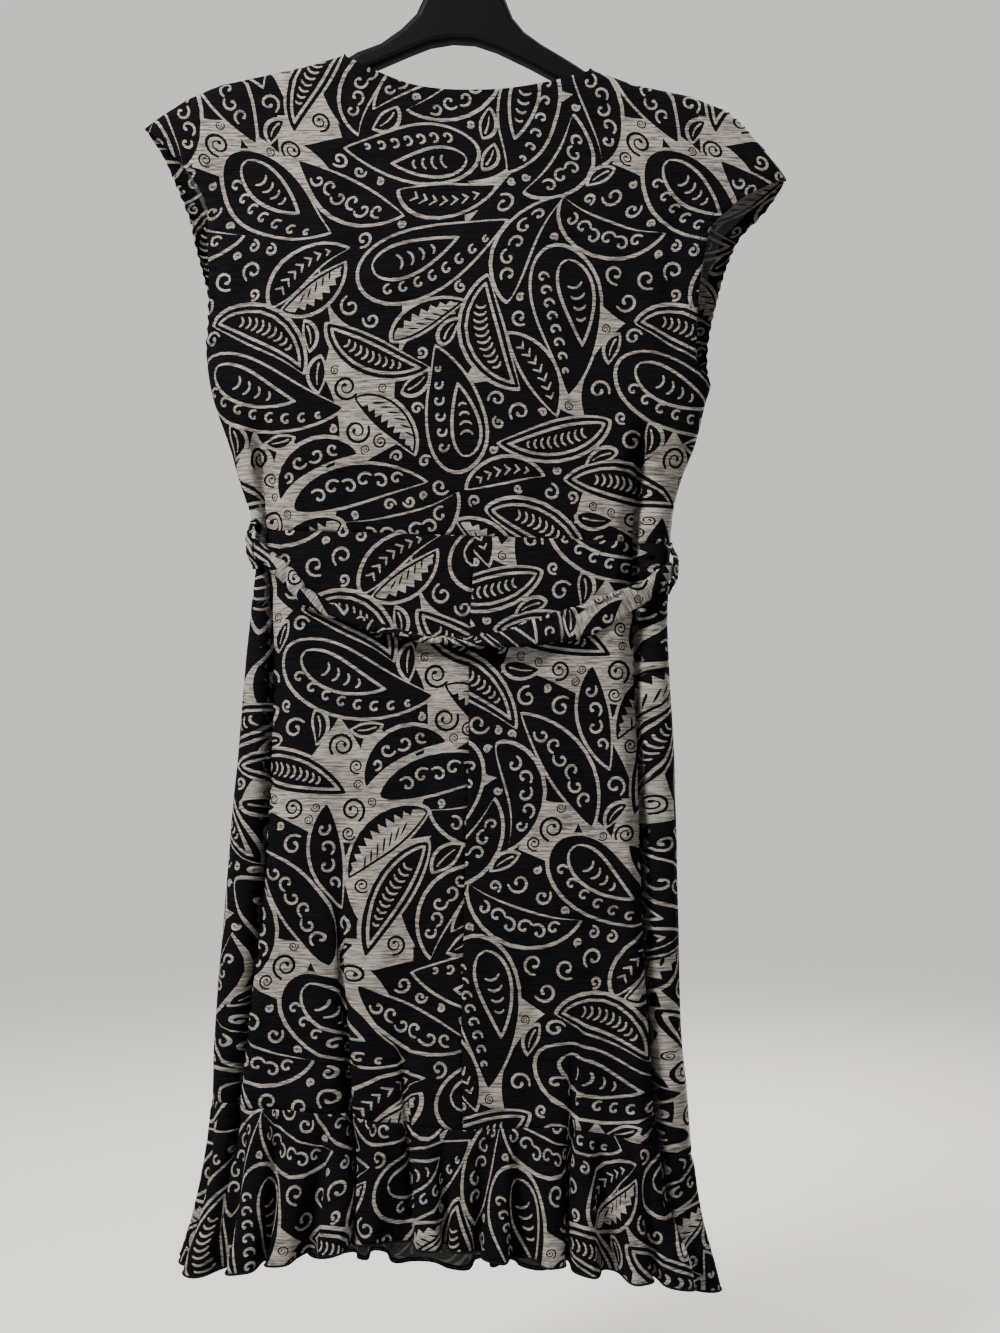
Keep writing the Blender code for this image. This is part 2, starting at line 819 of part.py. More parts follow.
def tail_rings(rows):
    table = np.array(rows, float)
    run = -table[:, 1]
    at = np.linspace(run[0], run[-1], TAIL_STATIONS)
    x, stand, width, turn = (np.interp(at, run, table[:, k]) for k in (0, 2, 3, 4))
    x = through(run, table[:, 0], at)
    z = -at
    angle = angle_of(FRONT, x, z)
    y = form(FRONT, angle, z)[:, 1] + WALL + stand
    rings = []
    for k in range(len(at)):
        a = math.radians(turn[k])
        side = np.array([math.cos(a), math.sin(a), 0]) * width[k] / 2
        thick = np.array([-math.sin(a), math.cos(a), 0]) * TAIL_THICK / 2
        middle = np.array([x[k], y[k], z[k]])
        rings.append(
            np.array([
                middle - side - thick,
                middle - thick,
                middle + side - thick,
                middle + side + thick,
                middle + thick,
                middle - side + thick,
            ])
        )
    return rings


def loop_rings(share, top, bottom):
    """A narrow strap that stands over the belt and comes back to the side seam."""
    rings = []
    path = []
    for k in range(LOOP_STATIONS):
        t = k / (LOOP_STATIONS - 1)
        z = top + (bottom - top) * t
        level = np.array([z])
        angle = angle_at(BACK, np.array([share]), level)

        def bare(a, h):
            return form(BACK, a, h)

        point, normal = with_normals(bare, angle, level)
        normal = normal[0]
        rise = LOOP_RISE * math.sin(math.pi * t) ** LOOP_ARCH
        stand = WALL + LOOP_END_CLEAR + LOOP_THICK / 2 + rise
        path.append((point[0] + normal * stand, normal))
    line = np.array([p for p, _ in path])
    along = np.gradient(line, axis=0)
    for (point, normal), direction in zip(path, along):
        direction = direction / np.linalg.norm(direction)
        side = np.cross(direction, normal)
        side /= np.linalg.norm(side)
        outward = np.cross(side, direction)
        half, thick = side * LOOP_WIDTH / 2, outward * LOOP_THICK / 2
        rings.append(
            np.array([
                point - half - thick,
                point + half - thick,
                point + half + thick,
                point - half + thick,
            ])
        )
    return rings


def outline_solid(name, outline, thick, bevel, collection, finish):
    """A flat closed outline in X and Z, extruded along Y with rounded rims."""
    curve = bpy.data.curves.new(name, "CURVE")
    curve.dimensions = "2D"
    curve.fill_mode = "BOTH"
    curve.extrude = (thick / 2 - bevel) * MM
    curve.bevel_depth = bevel * MM
    curve.bevel_resolution = 2
    curve.offset = -bevel * MM
    spline = curve.splines.new("POLY")
    spline.points.add(len(outline) - 1)
    for point, (x, z) in zip(spline.points, outline):
        point.co = (x * MM, z * MM, 0, 1)
    spline.use_cyclic_u = True
    curve_object = bpy.data.objects.new(name + "_outline", curve)
    curve_object.rotation_euler = (math.pi / 2, 0, 0)
    collection.objects.link(curve_object)
    bpy.context.view_layer.update()
    graph = bpy.context.evaluated_depsgraph_get()
    mesh = bpy.data.meshes.new_from_object(curve_object.evaluated_get(graph))
    mesh.transform(curve_object.matrix_world)
    bpy.data.objects.remove(curve_object)
    welded = bmesh.new()
    welded.from_mesh(mesh)
    bmesh.ops.remove_doubles(welded, verts=welded.verts, dist=0.00001)
    bmesh.ops.recalc_face_normals(welded, faces=welded.faces)
    welded.to_mesh(mesh)
    welded.free()
    mesh.name = name
    mesh.materials.clear()
    return add(name, mesh, collection, finish)


def hanger_outline():
    """Neck, then the right arm's top under the shoulder seam, the underside, the left arm."""
    lift = ARM_CLEAR
    right = [row[0] for row in TOP_EDGE if NECK_RIGHT + 5 < row[0] < ARM_TIPS[1] - 5]
    left = [row[0] for row in TOP_EDGE if ARM_TIPS[0] + 9 < row[0] < NECK_LEFT - 5]
    right = [NECK_RIGHT + 4] + right + [ARM_TIPS[1]]
    left = [ARM_TIPS[0]] + left + [NECK_LEFT - 4]
    outline = [tuple(row) for row in HANGER_TOP]
    outline += [(x, float(shoulder_line(float(x))) - lift) for x in right]
    outline += [tuple(row) for row in HANGER_UNDER]
    outline += [(x, float(shoulder_line(float(x))) - lift) for x in left]
    return outline


def hook(collection, finish):
    """Round wire: a stem out of the neck, then a hook whose inside top is the origin."""
    wire = bpy.data.curves.new("hanger_hook", "CURVE")
    wire.dimensions = "3D"
    wire.bevel_depth = HOOK_WIRE / 2 * MM
    wire.bevel_resolution = 2
    wire.use_fill_caps = True
    radius = HOOK_RADIUS + HOOK_WIRE / 2
    centre_z = HOOK_WIRE / 2 - radius
    points = list(HOOK_STEM)
    for k in range(HOOK_STEPS + 1):
        turn = math.radians(HOOK_START + HOOK_TURN * k / HOOK_STEPS)
        points.append((radius * math.cos(turn), centre_z + radius * math.sin(turn)))
    spline = wire.splines.new("POLY")
    spline.points.add(len(points) - 1)
    for point, (x, z) in zip(spline.points, points):
        point.co = (x * MM, 0, z * MM, 1)
    made = bpy.data.objects.new("hanger_hook", wire)
    wire.materials.append(finish)
    collection.objects.link(made)
    return made


def knot(collection, finish):
    """The belt's knot: a rounded, slightly pinched lump outside the over front."""
    ball = bmesh.new()
    bmesh.ops.create_icosphere(ball, subdivisions=3, radius=1.0)
    level = np.array([float(KNOT_Z)])
    angle = angle_at(FRONT, np.array([KNOT_SHARE]), level)
    base = form(FRONT, angle, level)[0]
    wide, deep, tall = KNOT_SIZE
    middle = base + np.array([0, WALL + KNOT_CLEAR + deep / 2, 0])
    for vertex in ball.verts:
        x, y, z = vertex.co
        pinch = 1 - KNOT_PINCH * math.cos(3 * math.atan2(z, x)) * (1 - y * y)
        vertex.co = (
            (middle[0] + x * pinch * wide / 2) * MM,
            (middle[1] + y * deep / 2) * MM,
            (middle[2] + z * pinch * tall / 2) * MM,
        )
    mesh = bpy.data.meshes.new("belt_knot")
    ball.to_mesh(mesh)
    ball.free()
    return add("belt_knot", mesh, collection, finish)


def main():
    for existing in list(bpy.data.objects):
        bpy.data.objects.remove(existing)
    dress = bpy.data.collections.new("wrap_dress_on_hanger")
    bpy.context.scene.collection.children.link(dress)

    jersey = material("printed_jersey", CLOTH_COLOUR, 0.85)
    under = material("printed_jersey_under", UNDER_COLOUR, 0.85)
    sash = material("belt_jersey", BELT_COLOUR, 0.85)
    plastic = material("black_plastic", PLASTIC_COLOUR, 0.45)
    steel = material("bright_steel", STEEL_COLOUR, 0.25, 1.0)

    rows = len(BODICE_ROWS) - 1
    panel("back_bodice", len(TOP_EDGE) - 1, rows, bodice_back, dress, jersey)
    panel("front_bodice_over", 12, rows, bodice_front(True), dress, jersey)
    panel("front_bodice_under", 12, rows, bodice_front(False), dress, under)
    panel("skirt_back_left", 15, 12, skirt_back(-1), dress, jersey)
    panel("skirt_back_right", 15, 12, skirt_back(1), dress, jersey)
    over_low = -WRAP_SHARE
    panel("skirt_front_over", 22, 12, skirt_piece(FRONT, over_low, 1), dress, jersey)
    panel("skirt_front_under", 22, 12, skirt_piece(FRONT, -1, WRAP_SHARE, False), dress, under)
    panel("ruffle_back", 84, 4, ruffle_piece(BACK, -1, 1), dress, jersey)
    panel("ruffle_front_over", 76, 4, ruffle_piece(FRONT, over_low, 1), dress, jersey)
    panel("ruffle_front_under", 76, 4, ruffle_piece(FRONT, -1, WRAP_SHARE, False), dress, under)

    tube("belt", belt_rings(), dress, sash)
    knot(dress, sash)
    for name, rows in TAILS.items():
        tube(name, tail_rings(rows), dress, sash)
    for name, (share, top, bottom) in LOOPS.items():
        tube(name, loop_rings(share, top, bottom), dress, jersey)

    outline_solid("hanger_body", hanger_outline(), ARM_THICK, ARM_BEVEL, dress, plastic)
    hook(dress, steel)


main()
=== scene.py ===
"""The looks of a wrap dress on its hanger: printed jersey with folds and flutes, a rolled
belt, a moulded hanger, soft studio light and a camera square to the dress's back.

All lengths are millimetres until the MM factor turns them into metres. The cloth follows
the same closed tube as the solids: a face (back or front), an angle across it and a
height give a point. Each piece is cut flat first, u across and v up, with its print.
"""

import math

import bpy
import numpy as np
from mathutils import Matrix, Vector
from mathutils.geometry import delaunay_2d_cdt


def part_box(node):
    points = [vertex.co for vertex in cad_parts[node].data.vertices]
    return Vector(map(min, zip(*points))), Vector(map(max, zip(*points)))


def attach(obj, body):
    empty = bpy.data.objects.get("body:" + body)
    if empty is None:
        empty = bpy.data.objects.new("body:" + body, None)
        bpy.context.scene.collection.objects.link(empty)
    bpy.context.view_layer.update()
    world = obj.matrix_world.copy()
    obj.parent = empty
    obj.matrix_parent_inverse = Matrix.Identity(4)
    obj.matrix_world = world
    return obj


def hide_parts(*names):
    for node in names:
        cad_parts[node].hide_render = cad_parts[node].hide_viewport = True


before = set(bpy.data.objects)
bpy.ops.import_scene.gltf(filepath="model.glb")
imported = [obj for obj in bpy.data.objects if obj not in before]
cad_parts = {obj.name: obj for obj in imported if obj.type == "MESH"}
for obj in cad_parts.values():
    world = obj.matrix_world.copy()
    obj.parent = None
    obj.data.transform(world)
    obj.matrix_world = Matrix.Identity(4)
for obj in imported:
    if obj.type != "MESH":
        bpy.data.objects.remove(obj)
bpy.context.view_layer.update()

MM = 0.001
BACK, FRONT = -1, 1

# ---------------------------------------------------------------- sizes that the solids have

WALL = 1.6
LAYER_STEP = 4.5
LAYER_LEAD, LAYER_EASE = 20.0, 25.0

# The tube's sections: height, left and right extent, depth of the back and of the front
# from the side seams, and squareness (2 is an ellipse).
SECTIONS = (
    # z, left, right, back, front, square
    (-130, -285, 275, 16, 16, 2.8),
    (-200, -276, 270, 19, 19, 2.8),
    (-241, -247, 263, 23, 23, 2.8),
    (-259, -237, 252, 25, 25, 2.8),
    (-284, -229, 229, 28, 28, 2.8),
    (-305, -225, 217, 30, 30, 2.9),
    (-339, -219, 208, 32, 32, 2.9),
    (-375, -215, 200, 33, 33, 3.0),
    (-410, -211, 196, 34, 34, 3.0),
    (-427, -207, 191, 34, 34, 3.0),
    (-462, -195, 182, 33, 33, 3.0),
    (-490, -187, 171, 31, 31, 3.0),
    (-515, -179, 165, 30, 30, 3.0),
    (-535, -176, 163, 29, 29, 3.0),
    (-560, -175, 162, 30, 30, 3.0),
    (-600, -178, 160, 31, 31, 3.1),
    (-653, -183, 162, 34, 34, 3.2),
    (-717, -188, 166, 36, 37, 3.2),
    (-776, -194, 167, 39, 40, 3.2),
    (-858, -200, 169, 42, 43, 3.2),
    (-934, -206, 171, 44, 46, 3.2),
    (-993, -209, 176, 46, 48, 3.2),
    (-1040, -213, 180, 47, 50, 3.2),
    (-1090, -221, 184, 49, 53, 3.2),
    (-1131, -231, 192, 51, 55, 3.2),
    (-1170, -238, 199, 52, 56, 3.2),
)

# Shoulder seams and back neckline, from the left cap's tip to the right cap's tip.
TOP_EDGE = (
    # x, z
    (-265, -202),
    (-252, -193),
    (-229, -179),
    (-203, -168),
    (-165, -160),
    (-128, -152),
    (-103, -144),
    (-101, -146.5),
    (-92, -151.5),
    (-77, -159),
    (-45, -171),
    (0, -175),
    (30, -174),
    (62, -169),
    (85, -163),
    (97, -158.5),
    (99, -156),
    (134, -168),
    (178, -177),
    (210, -189),
    (222, -200),
    (239, -219),
    (258, -243),
)
TIP_LEFT, TIP_RIGHT = -265, 258
NECK_LEFT, NECK_RIGHT = -103, 99
SHOULDER_ROUND, SHOULDER_SQUARE = 13.0, 2.6
# Across the neck the cloth stands clear of the hanger's collar, as if the line rose over it.
NECK_RISE, NECK_RUN = 7.0, 6.0

# Armhole edges from the cap's tip down to the underarm.
ARMHOLE_LEFT = (
    # z, back edge x, front edge x
    (-202, -265, -265),
    (-218, -248, -254),
    (-243, -226, -242),
    (-270, -213, -231),
    (-296, -212, -225),
    (-336, -210, -216),
    (-369, -211, -212),
    (-384, -213.9, -213.9),
)
ARMHOLE_RIGHT = (
    # z, back edge x, front edge x
    (-243, 258, 258),
    (-261, 222, 246),
    (-273, 208, 235),
    (-284, 196, 224),
    (-303, 190, 214),
    (-336, 185, 204),
    (-390, 182, 195),
    (-411, 195.8, 195.8),
)

# Horizontal seams and hems: share of the way from the middle (0) to a side seam (1).
EDGES = {
    # name: rows of share, back z, front z
    "waist": ((-1, -530, -530), (0, -536, -536), (1, -542, -542)),
    "ruffle_seam": (
        (-1, -992, -992),
        (-0.5, -994, -1018),
        (0, -1006, -1035),
        (0.5, -1008, -1042),
        (1, -1040, -1040),
    ),
    "hem": (
        (-1, -1131, -1131),
        (-0.75, -1123, -1138),
        (-0.5, -1104, -1143),
        (-0.25, -1097, -1147),
        (0, -1102, -1150),
        (0.3, -1108, -1152),
        (0.6, -1122, -1153),
        (0.8, -1138, -1152),
        (1, -1149, -1149),
    ),
}

# The wrap: the over front hangs from the right side seam, the under front from the left.
WRAP_SHARE = 0.74

# Long folds: a trough that follows three points down one face.
FOLDS = (
    # face, z and x at the top, the middle and the bottom, depth, half width
    (BACK, (-425, -640, -1060), (-168, -158, -197), 13, 9),
    (BACK, (-435, -560, -1040), (138, 130, 154), 13, 9),
    (BACK, (-690, -840, -1080), (-98, -103, -88), 6, 11),
    (BACK, (-850, -930, -1010), (52, 53, 60), 4, 10),
    (BACK, (-330, -420, -500), (-120, -100, -96), 3, 20),
    (BACK, (-330, -420, -500), (110, 88, 84), 3, 20),
    (FRONT, (-440, -640, -1060), (-160, -166, -192), 6, 10),
    (FRONT, (-440, -620, -1050), (148, 144, 161), 6, 10),
    (FRONT, (-600, -820, -1100), (-60, -72, -86), 5, 18),
    (FRONT, (-640, -840, -1100), (50, 62, 70), 5, 18),
)
FOLD_FADE = 55.0

# Ruffle: where each wave's crest lies, as a share of the way to the side seam, and how
# far the wave swings at the hem. A crest at each side seam is added.
RUFFLE_BACK = (
    # share, swing
    (-0.86, 8.0),
    (-0.70, 9.0),
    (-0.545, 7.0),
    (-0.40, 9.5),
    (-0.25, 6.5),
    (-0.09, 7.5),
    (0.06, 8.0),
    (0.20, 6.5),
    (0.345, 8.0),
    (0.49, 9.0),
    (0.64, 9.5),
    (0.80, 8.0),
)
RUFFLE_FRONT = (
    # share, swing
    (-0.85, 8.5),
    (-0.69, 8.0),
    (-0.53, 9.0),
    (-0.38, 7.5),
    (-0.22, 9.0),
    (-0.07, 7.5),
    (0.09, 8.5),
    (0.24, 8.0),
    (0.40, 9.0),
    (0.55, 7.0),
    (0.70, 9.0),
    (0.85, 8.0),
)
SIDE_SWING = 7.0
RUFFLE_START = 0.12

# The centre-back seam of the skirt, as a share of the way to the right side seam.
CENTRE_BACK = 0.055

SECTION_TABLE = np.array(SECTIONS[::-1], float)
LEVELS = np.arange(-1175.0, -125.0, 5.0)
ANGLES = np.linspace(-math.pi / 2, math.pi / 2, 361)
SHARE_STEPS = 240
# Small steps across and up by which the tube's normals are measured.
TURN_STEP, RISE_STEP = 0.004, 0.5


def through(xs, ys, x):
    """A smooth curve through the points (xs, ys), read at x."""
    xs, ys = np.asarray(xs, float), np.asarray(ys, float)
    x = np.clip(x, xs[0], xs[-1])
    step = np.diff(ys) / np.diff(xs)
    slope = np.concatenate([step[:1], (step[1:] + step[:-1]) / 2, step[-1:]])
    turn = np.concatenate([[False], step[1:] * step[:-1] <= 0, [False]])
    slope[turn] = 0
    i = np.clip(np.searchsorted(xs, x, side="right") - 1, 0, len(xs) - 2)
    width = xs[i + 1] - xs[i]
    t = (x - xs[i]) / width
    return (
        ys[i] * (1 + 2 * t) * (1 - t) ** 2
        + slope[i] * width * t * (1 - t) ** 2
        + ys[i + 1] * t * t * (3 - 2 * t)
        + slope[i + 1] * width * t * t * (t - 1)
    )


def ease(t):
    t = np.clip(t, 0, 1)
    return t * t * (3 - 2 * t)


def between(value, start, rise, end, fall):
    """1 from start to end, easing in over `rise` and out over `fall`."""
    return ease((value - start) / rise) * ease((end - value) / fall)


def run_along(points):
    """The distance from the first point of a line to each of its points."""
    return np.concatenate([[0], np.cumsum(np.linalg.norm(np.diff(points, axis=0), axis=1))])


def read_columns(at, run, rows):
    """Each column of rows, read at the distances `at`."""
    return np.stack([np.interp(at, run, column) for column in rows.T], axis=-1)


def section(face, z):
    """Centre, half width, depth and squareness of the tube at height z."""
    left = through(SECTION_TABLE[:, 0], SECTION_TABLE[:, 1], z)
    right = through(SECTION_TABLE[:, 0], SECTION_TABLE[:, 2], z)
    column = 3 if face == BACK else 4
    depth = through(SECTION_TABLE[:, 0], SECTION_TABLE[:, column], z)
    square = through(SECTION_TABLE[:, 0], SECTION_TABLE[:, 5], z)
    return (left + right) / 2, (right - left) / 2, depth, square


def shoulder_line(x):
    """Height of the shoulder seams at x, carried across the neck over the hanger's collar."""
    rows = [row for row in TOP_EDGE if not NECK_LEFT < row[0] < NECK_RIGHT]
    ends = {row[0]: row[1] for row in rows}
    rows.append((NECK_LEFT + NECK_RUN, ends[NECK_LEFT] + NECK_RISE))
    rows.append((NECK_RIGHT - NECK_RUN, ends[NECK_RIGHT] + NECK_RISE))
    rows.sort()
    return np.interp(x, [row[0] for row in rows], [row[1] for row in rows])


def form(face, angle, z, rounded=True):
    """The smooth tube, without folds: an array of points."""
    centre, half, depth, square = section(face, z)
    t = np.clip(np.sin(angle), -1, 1)
    x = centre + half * t
    bulge = (1 - np.abs(t) ** square) ** (1 / square)
    y = face * depth * bulge
    if rounded:
        drop = np.clip((shoulder_line(x) - z) / SHOULDER_ROUND, 0, 1)
        y = y * (1 - (1 - drop) ** SHOULDER_SQUARE) ** (1 / SHOULDER_SQUARE)
    return np.stack([x, y, z + 0 * x], axis=-1)


def angle_of(face, x, z):
    centre, half, _, _ = section(face, z)
    return np.arcsin(np.clip((x - centre) / half, -1, 1))


def arc_rows(face):
    """For each level, the length of cloth from the left side seam to each angle."""
    z, angle = np.meshgrid(LEVELS, ANGLES, indexing="ij")
    points = form(face, angle, z, rounded=False)
    steps = np.linalg.norm(np.diff(points[..., :2], axis=1), axis=-1)
    return np.concatenate([np.zeros((len(LEVELS), 1)), np.cumsum(steps, axis=1)], axis=1)


ARCS = {face: arc_rows(face) for face in (BACK, FRONT)}


def read_table(table, rows, columns):
    """Bilinear reading of a table at fractional rows and columns."""
    rows = np.clip(rows, 0, table.shape[0] - 1.001)
    columns = np.clip(columns, 0, table.shape[1] - 1.001)
    i, j = rows.astype(int), columns.astype(int)
    a, b = rows - i, columns - j
    low = table[i, j] * (1 - b) + table[i, j + 1] * b
    high = table[i + 1, j] * (1 - b) + table[i + 1, j + 1] * b
    return low * (1 - a) + high * a


def arc_at(face, angle, z):
    """Cloth length from the left side seam to this angle at height z."""
    row = (z - LEVELS[0]) / (LEVELS[1] - LEVELS[0])
    column = (angle - ANGLES[0]) / (ANGLES[1] - ANGLES[0])
    return read_table(ARCS[face], row, column)


def girth(face, z):
    return arc_at(face, np.full(np.shape(z), ANGLES[-1]), z)


def share_table(face):
    """For each level, the angle at each share (-1 to 1) of the cloth's length."""
    shares = np.linspace(0, 1, SHARE_STEPS + 1)
    return np.array([np.interp(shares * row[-1], row, ANGLES) for row in ARCS[face]])


SHARES = {face: share_table(face) for face in (BACK, FRONT)}


def angle_at(face, share, z):
    row = (z - LEVELS[0]) / (LEVELS[1] - LEVELS[0])
    return read_table(SHARES[face], row, (share + 1) / 2 * SHARE_STEPS)


def share_at(face, angle, z):
    return 2 * arc_at(face, angle, z) / girth(face, z) - 1


def edge_z(name, face, share):
    rows = np.array(EDGES[name], float)
    return through(rows[:, 0], rows[:, 1 if face == BACK else 2], share)


def fold_depth(face, angle, z):
    """How far the long folds push the cloth inwards."""
    total = np.zeros(np.shape(angle))
    for side, heights, places, depth, width in FOLDS:
        if side != face:
            continue
        heights = heights[::-1]
        place = through(heights, places[::-1], z)
        away = arc_at(face, angle, z) - arc_at(face, angle_of(face, place, z), z)
        fade = between(z, heights[0], FOLD_FADE, heights[-1], FOLD_FADE)
        total += depth * fade * np.exp(-((away / width) ** 2))
    return total


def tube(face, angle, z):
    """Points of the smooth tube and its outward unit normals."""
    points = form(face, angle, z)
    inside_ends = np.clip(angle, ANGLES[0] + TURN_STEP, ANGLES[-1] - TURN_STEP)
    across = form(face, inside_ends + TURN_STEP, z) - form(face, inside_ends - TURN_STEP, z)
    up = form(face, angle, z + RISE_STEP) - form(face, angle, z - RISE_STEP)
    normal = np.cross(across, up)
    normal /= np.linalg.norm(normal, axis=-1, keepdims=True)
    return points, -face * normal


def wrap_line(over):
    """Neckline of one front: from its shoulder's neck point down to the waist."""
    start = NECK_RIGHT if over else NECK_LEFT
    side = -1 if over else 1
    z0 = float(shoulder_line(np.array([float(start)]))[0])
    z1 = float(edge_z("waist", FRONT, side * WRAP_SHARE))
    angle = angle_at(FRONT, np.array([side * WRAP_SHARE]), np.array([z1]))
    x1 = float(form(FRONT, angle, z1)[0, 0])
    return (start, z0), (x1, z1)


def inside_over(x, z):
    """How far a point lies inside the over front's neckline, in mm."""
    (x0, z0), (x1, z1) = wrap_line(True)
    length = math.hypot(x1 - x0, z1 - z0)
    return ((x - x0) * (z1 - z0) - (z - z0) * (x1 - x0)) / -length


# ---------------------------------------------------------------- the print

# The print's repeat, and the cell of the raster that tells ink from ground.
TILE = np.array([340.0, 430.0])
CELL = 0.25
INK, GROUND = 1, 0


def turn(points, angle):
    c, s = math.cos(angle), math.sin(angle)
    return points @ np.array([[c, s], [-s, c]])


def spine(length, bend, t):
    """Points and headings along a line of this length that bends evenly by `bend` radians."""
    t = np.asarray(t, float)
    heading = bend * (t - 0.5)
    if abs(bend) < 1e-3:
        return np.stack([length * (t - 0.5), 0 * t], axis=-1), heading
    radius = length / bend
    x = radius * np.sin(heading)
    y = radius * (1 - np.cos(heading))
    return np.stack([x, y - radius * (1 - math.cos(bend / 2)) / 2], axis=-1), heading


def aside(length, bend, t, offset):
    """Points beside the spine, to its left by `offset`."""
    points, heading = spine(length, bend, t)
    normal = np.stack([-np.sin(heading), np.cos(heading)], axis=-1)
    return points + normal * np.broadcast_to(offset, np.shape(t))[..., None]


def leaf_half(t, width, fullness):
    """Half width of a leaf along its spine, 0 at the stalk and 1 at the tip."""
    return width / 2 * np.sin(math.pi * np.clip(t, 0, 1) ** fullness) ** 0.8


def leaf(length, width, bend, fullness, inset=0.0, start=0.0, stop=1.0, count=15, side=0):
    """A leaf's outline. side 1 or -1 gives the half on one side of the spine."""
    if inset > 0:
        fine = np.linspace(0.02, 0.98, 97)
        wide = fine[leaf_half(fine, width, fullness) > inset]
        start, stop = wide[0], wide[-1]
    t = start + (stop - start) * (0.5 - 0.5 * np.cos(np.linspace(0, math.pi, count)))
    half = np.maximum(leaf_half(t, width, fullness) - inset, 0.02)
    left = aside(length, bend, t, half if side >= 0 else 0.35)
    right = aside(length, bend, t[::-1], -half[::-1] if side <= 0 else -0.35)
    return np.concatenate([left, right[1:-1]] if side == 0 else [left, right])


def petal(length, width, bend, count=41):
    """A plain leaf that narrows to a fine point at both ends."""
    t = 0.5 - 0.5 * np.cos(np.linspace(0, math.pi, count))
    half = np.maximum(width / 2 * np.sin(math.pi * t) ** 1.3, 0.02)
    left, right = aside(length, bend, t, half), aside(length, bend, t[::-1], -half[::-1])
    return np.concatenate([left, right[1:-1]])


def stroke(line, widths):
    """A line drawn with a given width at each point, with rounded-off ends."""
    along = np.gradient(line, axis=0)
    along /= np.linalg.norm(along, axis=1, keepdims=True)
    normal = np.stack([-along[:, 1], along[:, 0]], axis=-1)
    half = np.asarray(widths)[:, None] / 2
    tip = line[-1] + along[-1] * half[-1] * 0.9
    tail = line[0] - along[0] * half[0] * 0.9
    return np.concatenate([line + normal * half, [tip], (line - normal * half)[::-1], [tail]])


def curl(size, turns, width, count=15, hand=1):
    """A hook that winds inwards: it starts straight and ends in a small round bulb."""
    t = np.linspace(0, 1, count)
    angle = turns * 2 * math.pi * t
    radius = size * (1 - 0.74 * t ** 0.9)
    line = np.stack([radius * np.cos(angle), hand * radius * np.sin(angle)], axis=-1)
    widths = width * (0.55 + 0.45 * np.sin(math.pi * np.minimum(t + 0.15, 1)))
    widths[-3:] = width * np.array([1.0, 1.25, 1.1])
    return stroke(line, widths)


def chevron(size, width):
    line = np.array([(-0.55, 0.8), (0.0, 0.25), (0.32, 0.0), (0.0, -0.25), (-0.55, -0.8)]) * size
    return stroke(line, width * np.array([0.6, 0.95, 1.15, 0.95, 0.6]))


def bar(size, width):
    """A slim crescent."""
    a = np.linspace(-0.95, 0.95, 7)
    line = np.stack([np.cos(a) * size - size * 0.8, np.sin(a) * size], axis=-1)
    return stroke(line, width * (0.35 + 0.65 * np.cos(a * 0.95)))


def drop(size):
    a = np.linspace(0, 2 * math.pi, 11)[:-1]
    return np.stack([np.cos(a), np.sin(a)], axis=-1) * size


def put(shape, at, angle):
    return turn(shape, angle) + at


def along_leaf(length, bend, t, offset=0.0):
    point = aside(length, bend, np.array([t]), offset)[0]
    return point, bend * (t - 0.5)


def saw(length, width, bend, fullness, side, teeth, reach):
    """One half of a leaf with a toothed inner edge."""
    t = np.linspace(0.04, 0.97, 14)
    outer = aside(length, bend, t, side * np.maximum(leaf_half(t, width, fullness) - 1.0, 0.05))
    rise = []
    for k in range(teeth):
        low = 0.90 - 0.82 * k / teeth
        high = low - 0.82 / teeth * 0.45
        tip = side * leaf_half(low, width, fullness) * (1 - reach)
        notch = side * leaf_half(high, width, fullness) * 0.62
        rise.append(aside(length, bend, np.array([low]), tip)[0])
        rise.append(aside(length, bend, np.array([high]), notch)[0])
    return np.concatenate([outer, rise])


# Motifs: each gives (polygon, colour) pairs in painter's order, with its length along +x.
# All take the random source, which only the two with a chosen side draw from.


def curled_leaf(rng, length, width, bend, fullness):
    parts = [(leaf(length, width, bend, fullness), INK)]
    n = max(2, int(length / 17))
    for k in range(n):
        t = 0.15 + 0.70 * (k + 0.5) / n
        half = leaf_half(t, width, fullness)
        size = min(half * 0.62, 6.8)
        if size < 1.7:
            continue
        at, angle = along_leaf(length, bend, t, (0.10 if k % 2 else -0.10) * half)
        hand = 1 if k % 2 else -1
        hook = curl(size, 0.82, 2.2, 14, hand)
        parts.append((put(hook, at, angle + (0.5 if k % 2 else 2.2)), GROUND))
    return parts


def chevron_leaf(rng, length, width, bend, fullness):
    parts = [(leaf(length, width, bend, fullness), INK)]
    n = max(3, int(length / 10.5))
    for k in range(n):
        t = 0.14 + 0.72 * (k + 0.5) / n
        size = min(leaf_half(t, width, fullness) * 0.52, 5.0)
        if size < 1.5:
            continue
        at, angle = along_leaf(length, bend, t)
        parts.append((put(chevron(size, 1.9), at, angle), GROUND))
    return parts


def barred_leaf(rng, length, width, bend, fullness):
    parts = [(leaf(length, width, bend, fullness), INK)]
    parts.append((leaf(length, width, bend, fullness, 3.2, count=13), GROUND))
    parts.append((leaf(length, width, bend, fullness, 5.6, count=13), INK))
    n = max(3, int(length / 9.5))
    for k in range(n):
        t = 0.22 + 0.56 * (k + 0.5) / n
        size = min((leaf_half(t, width, fullness) - 5.6) * 0.62, 6.5)
        if size < 1.6:
            continue
        at, angle = along_leaf(length, bend, t)
        parts.append((put(bar(size, 1.9), at, angle), GROUND))
    return parts


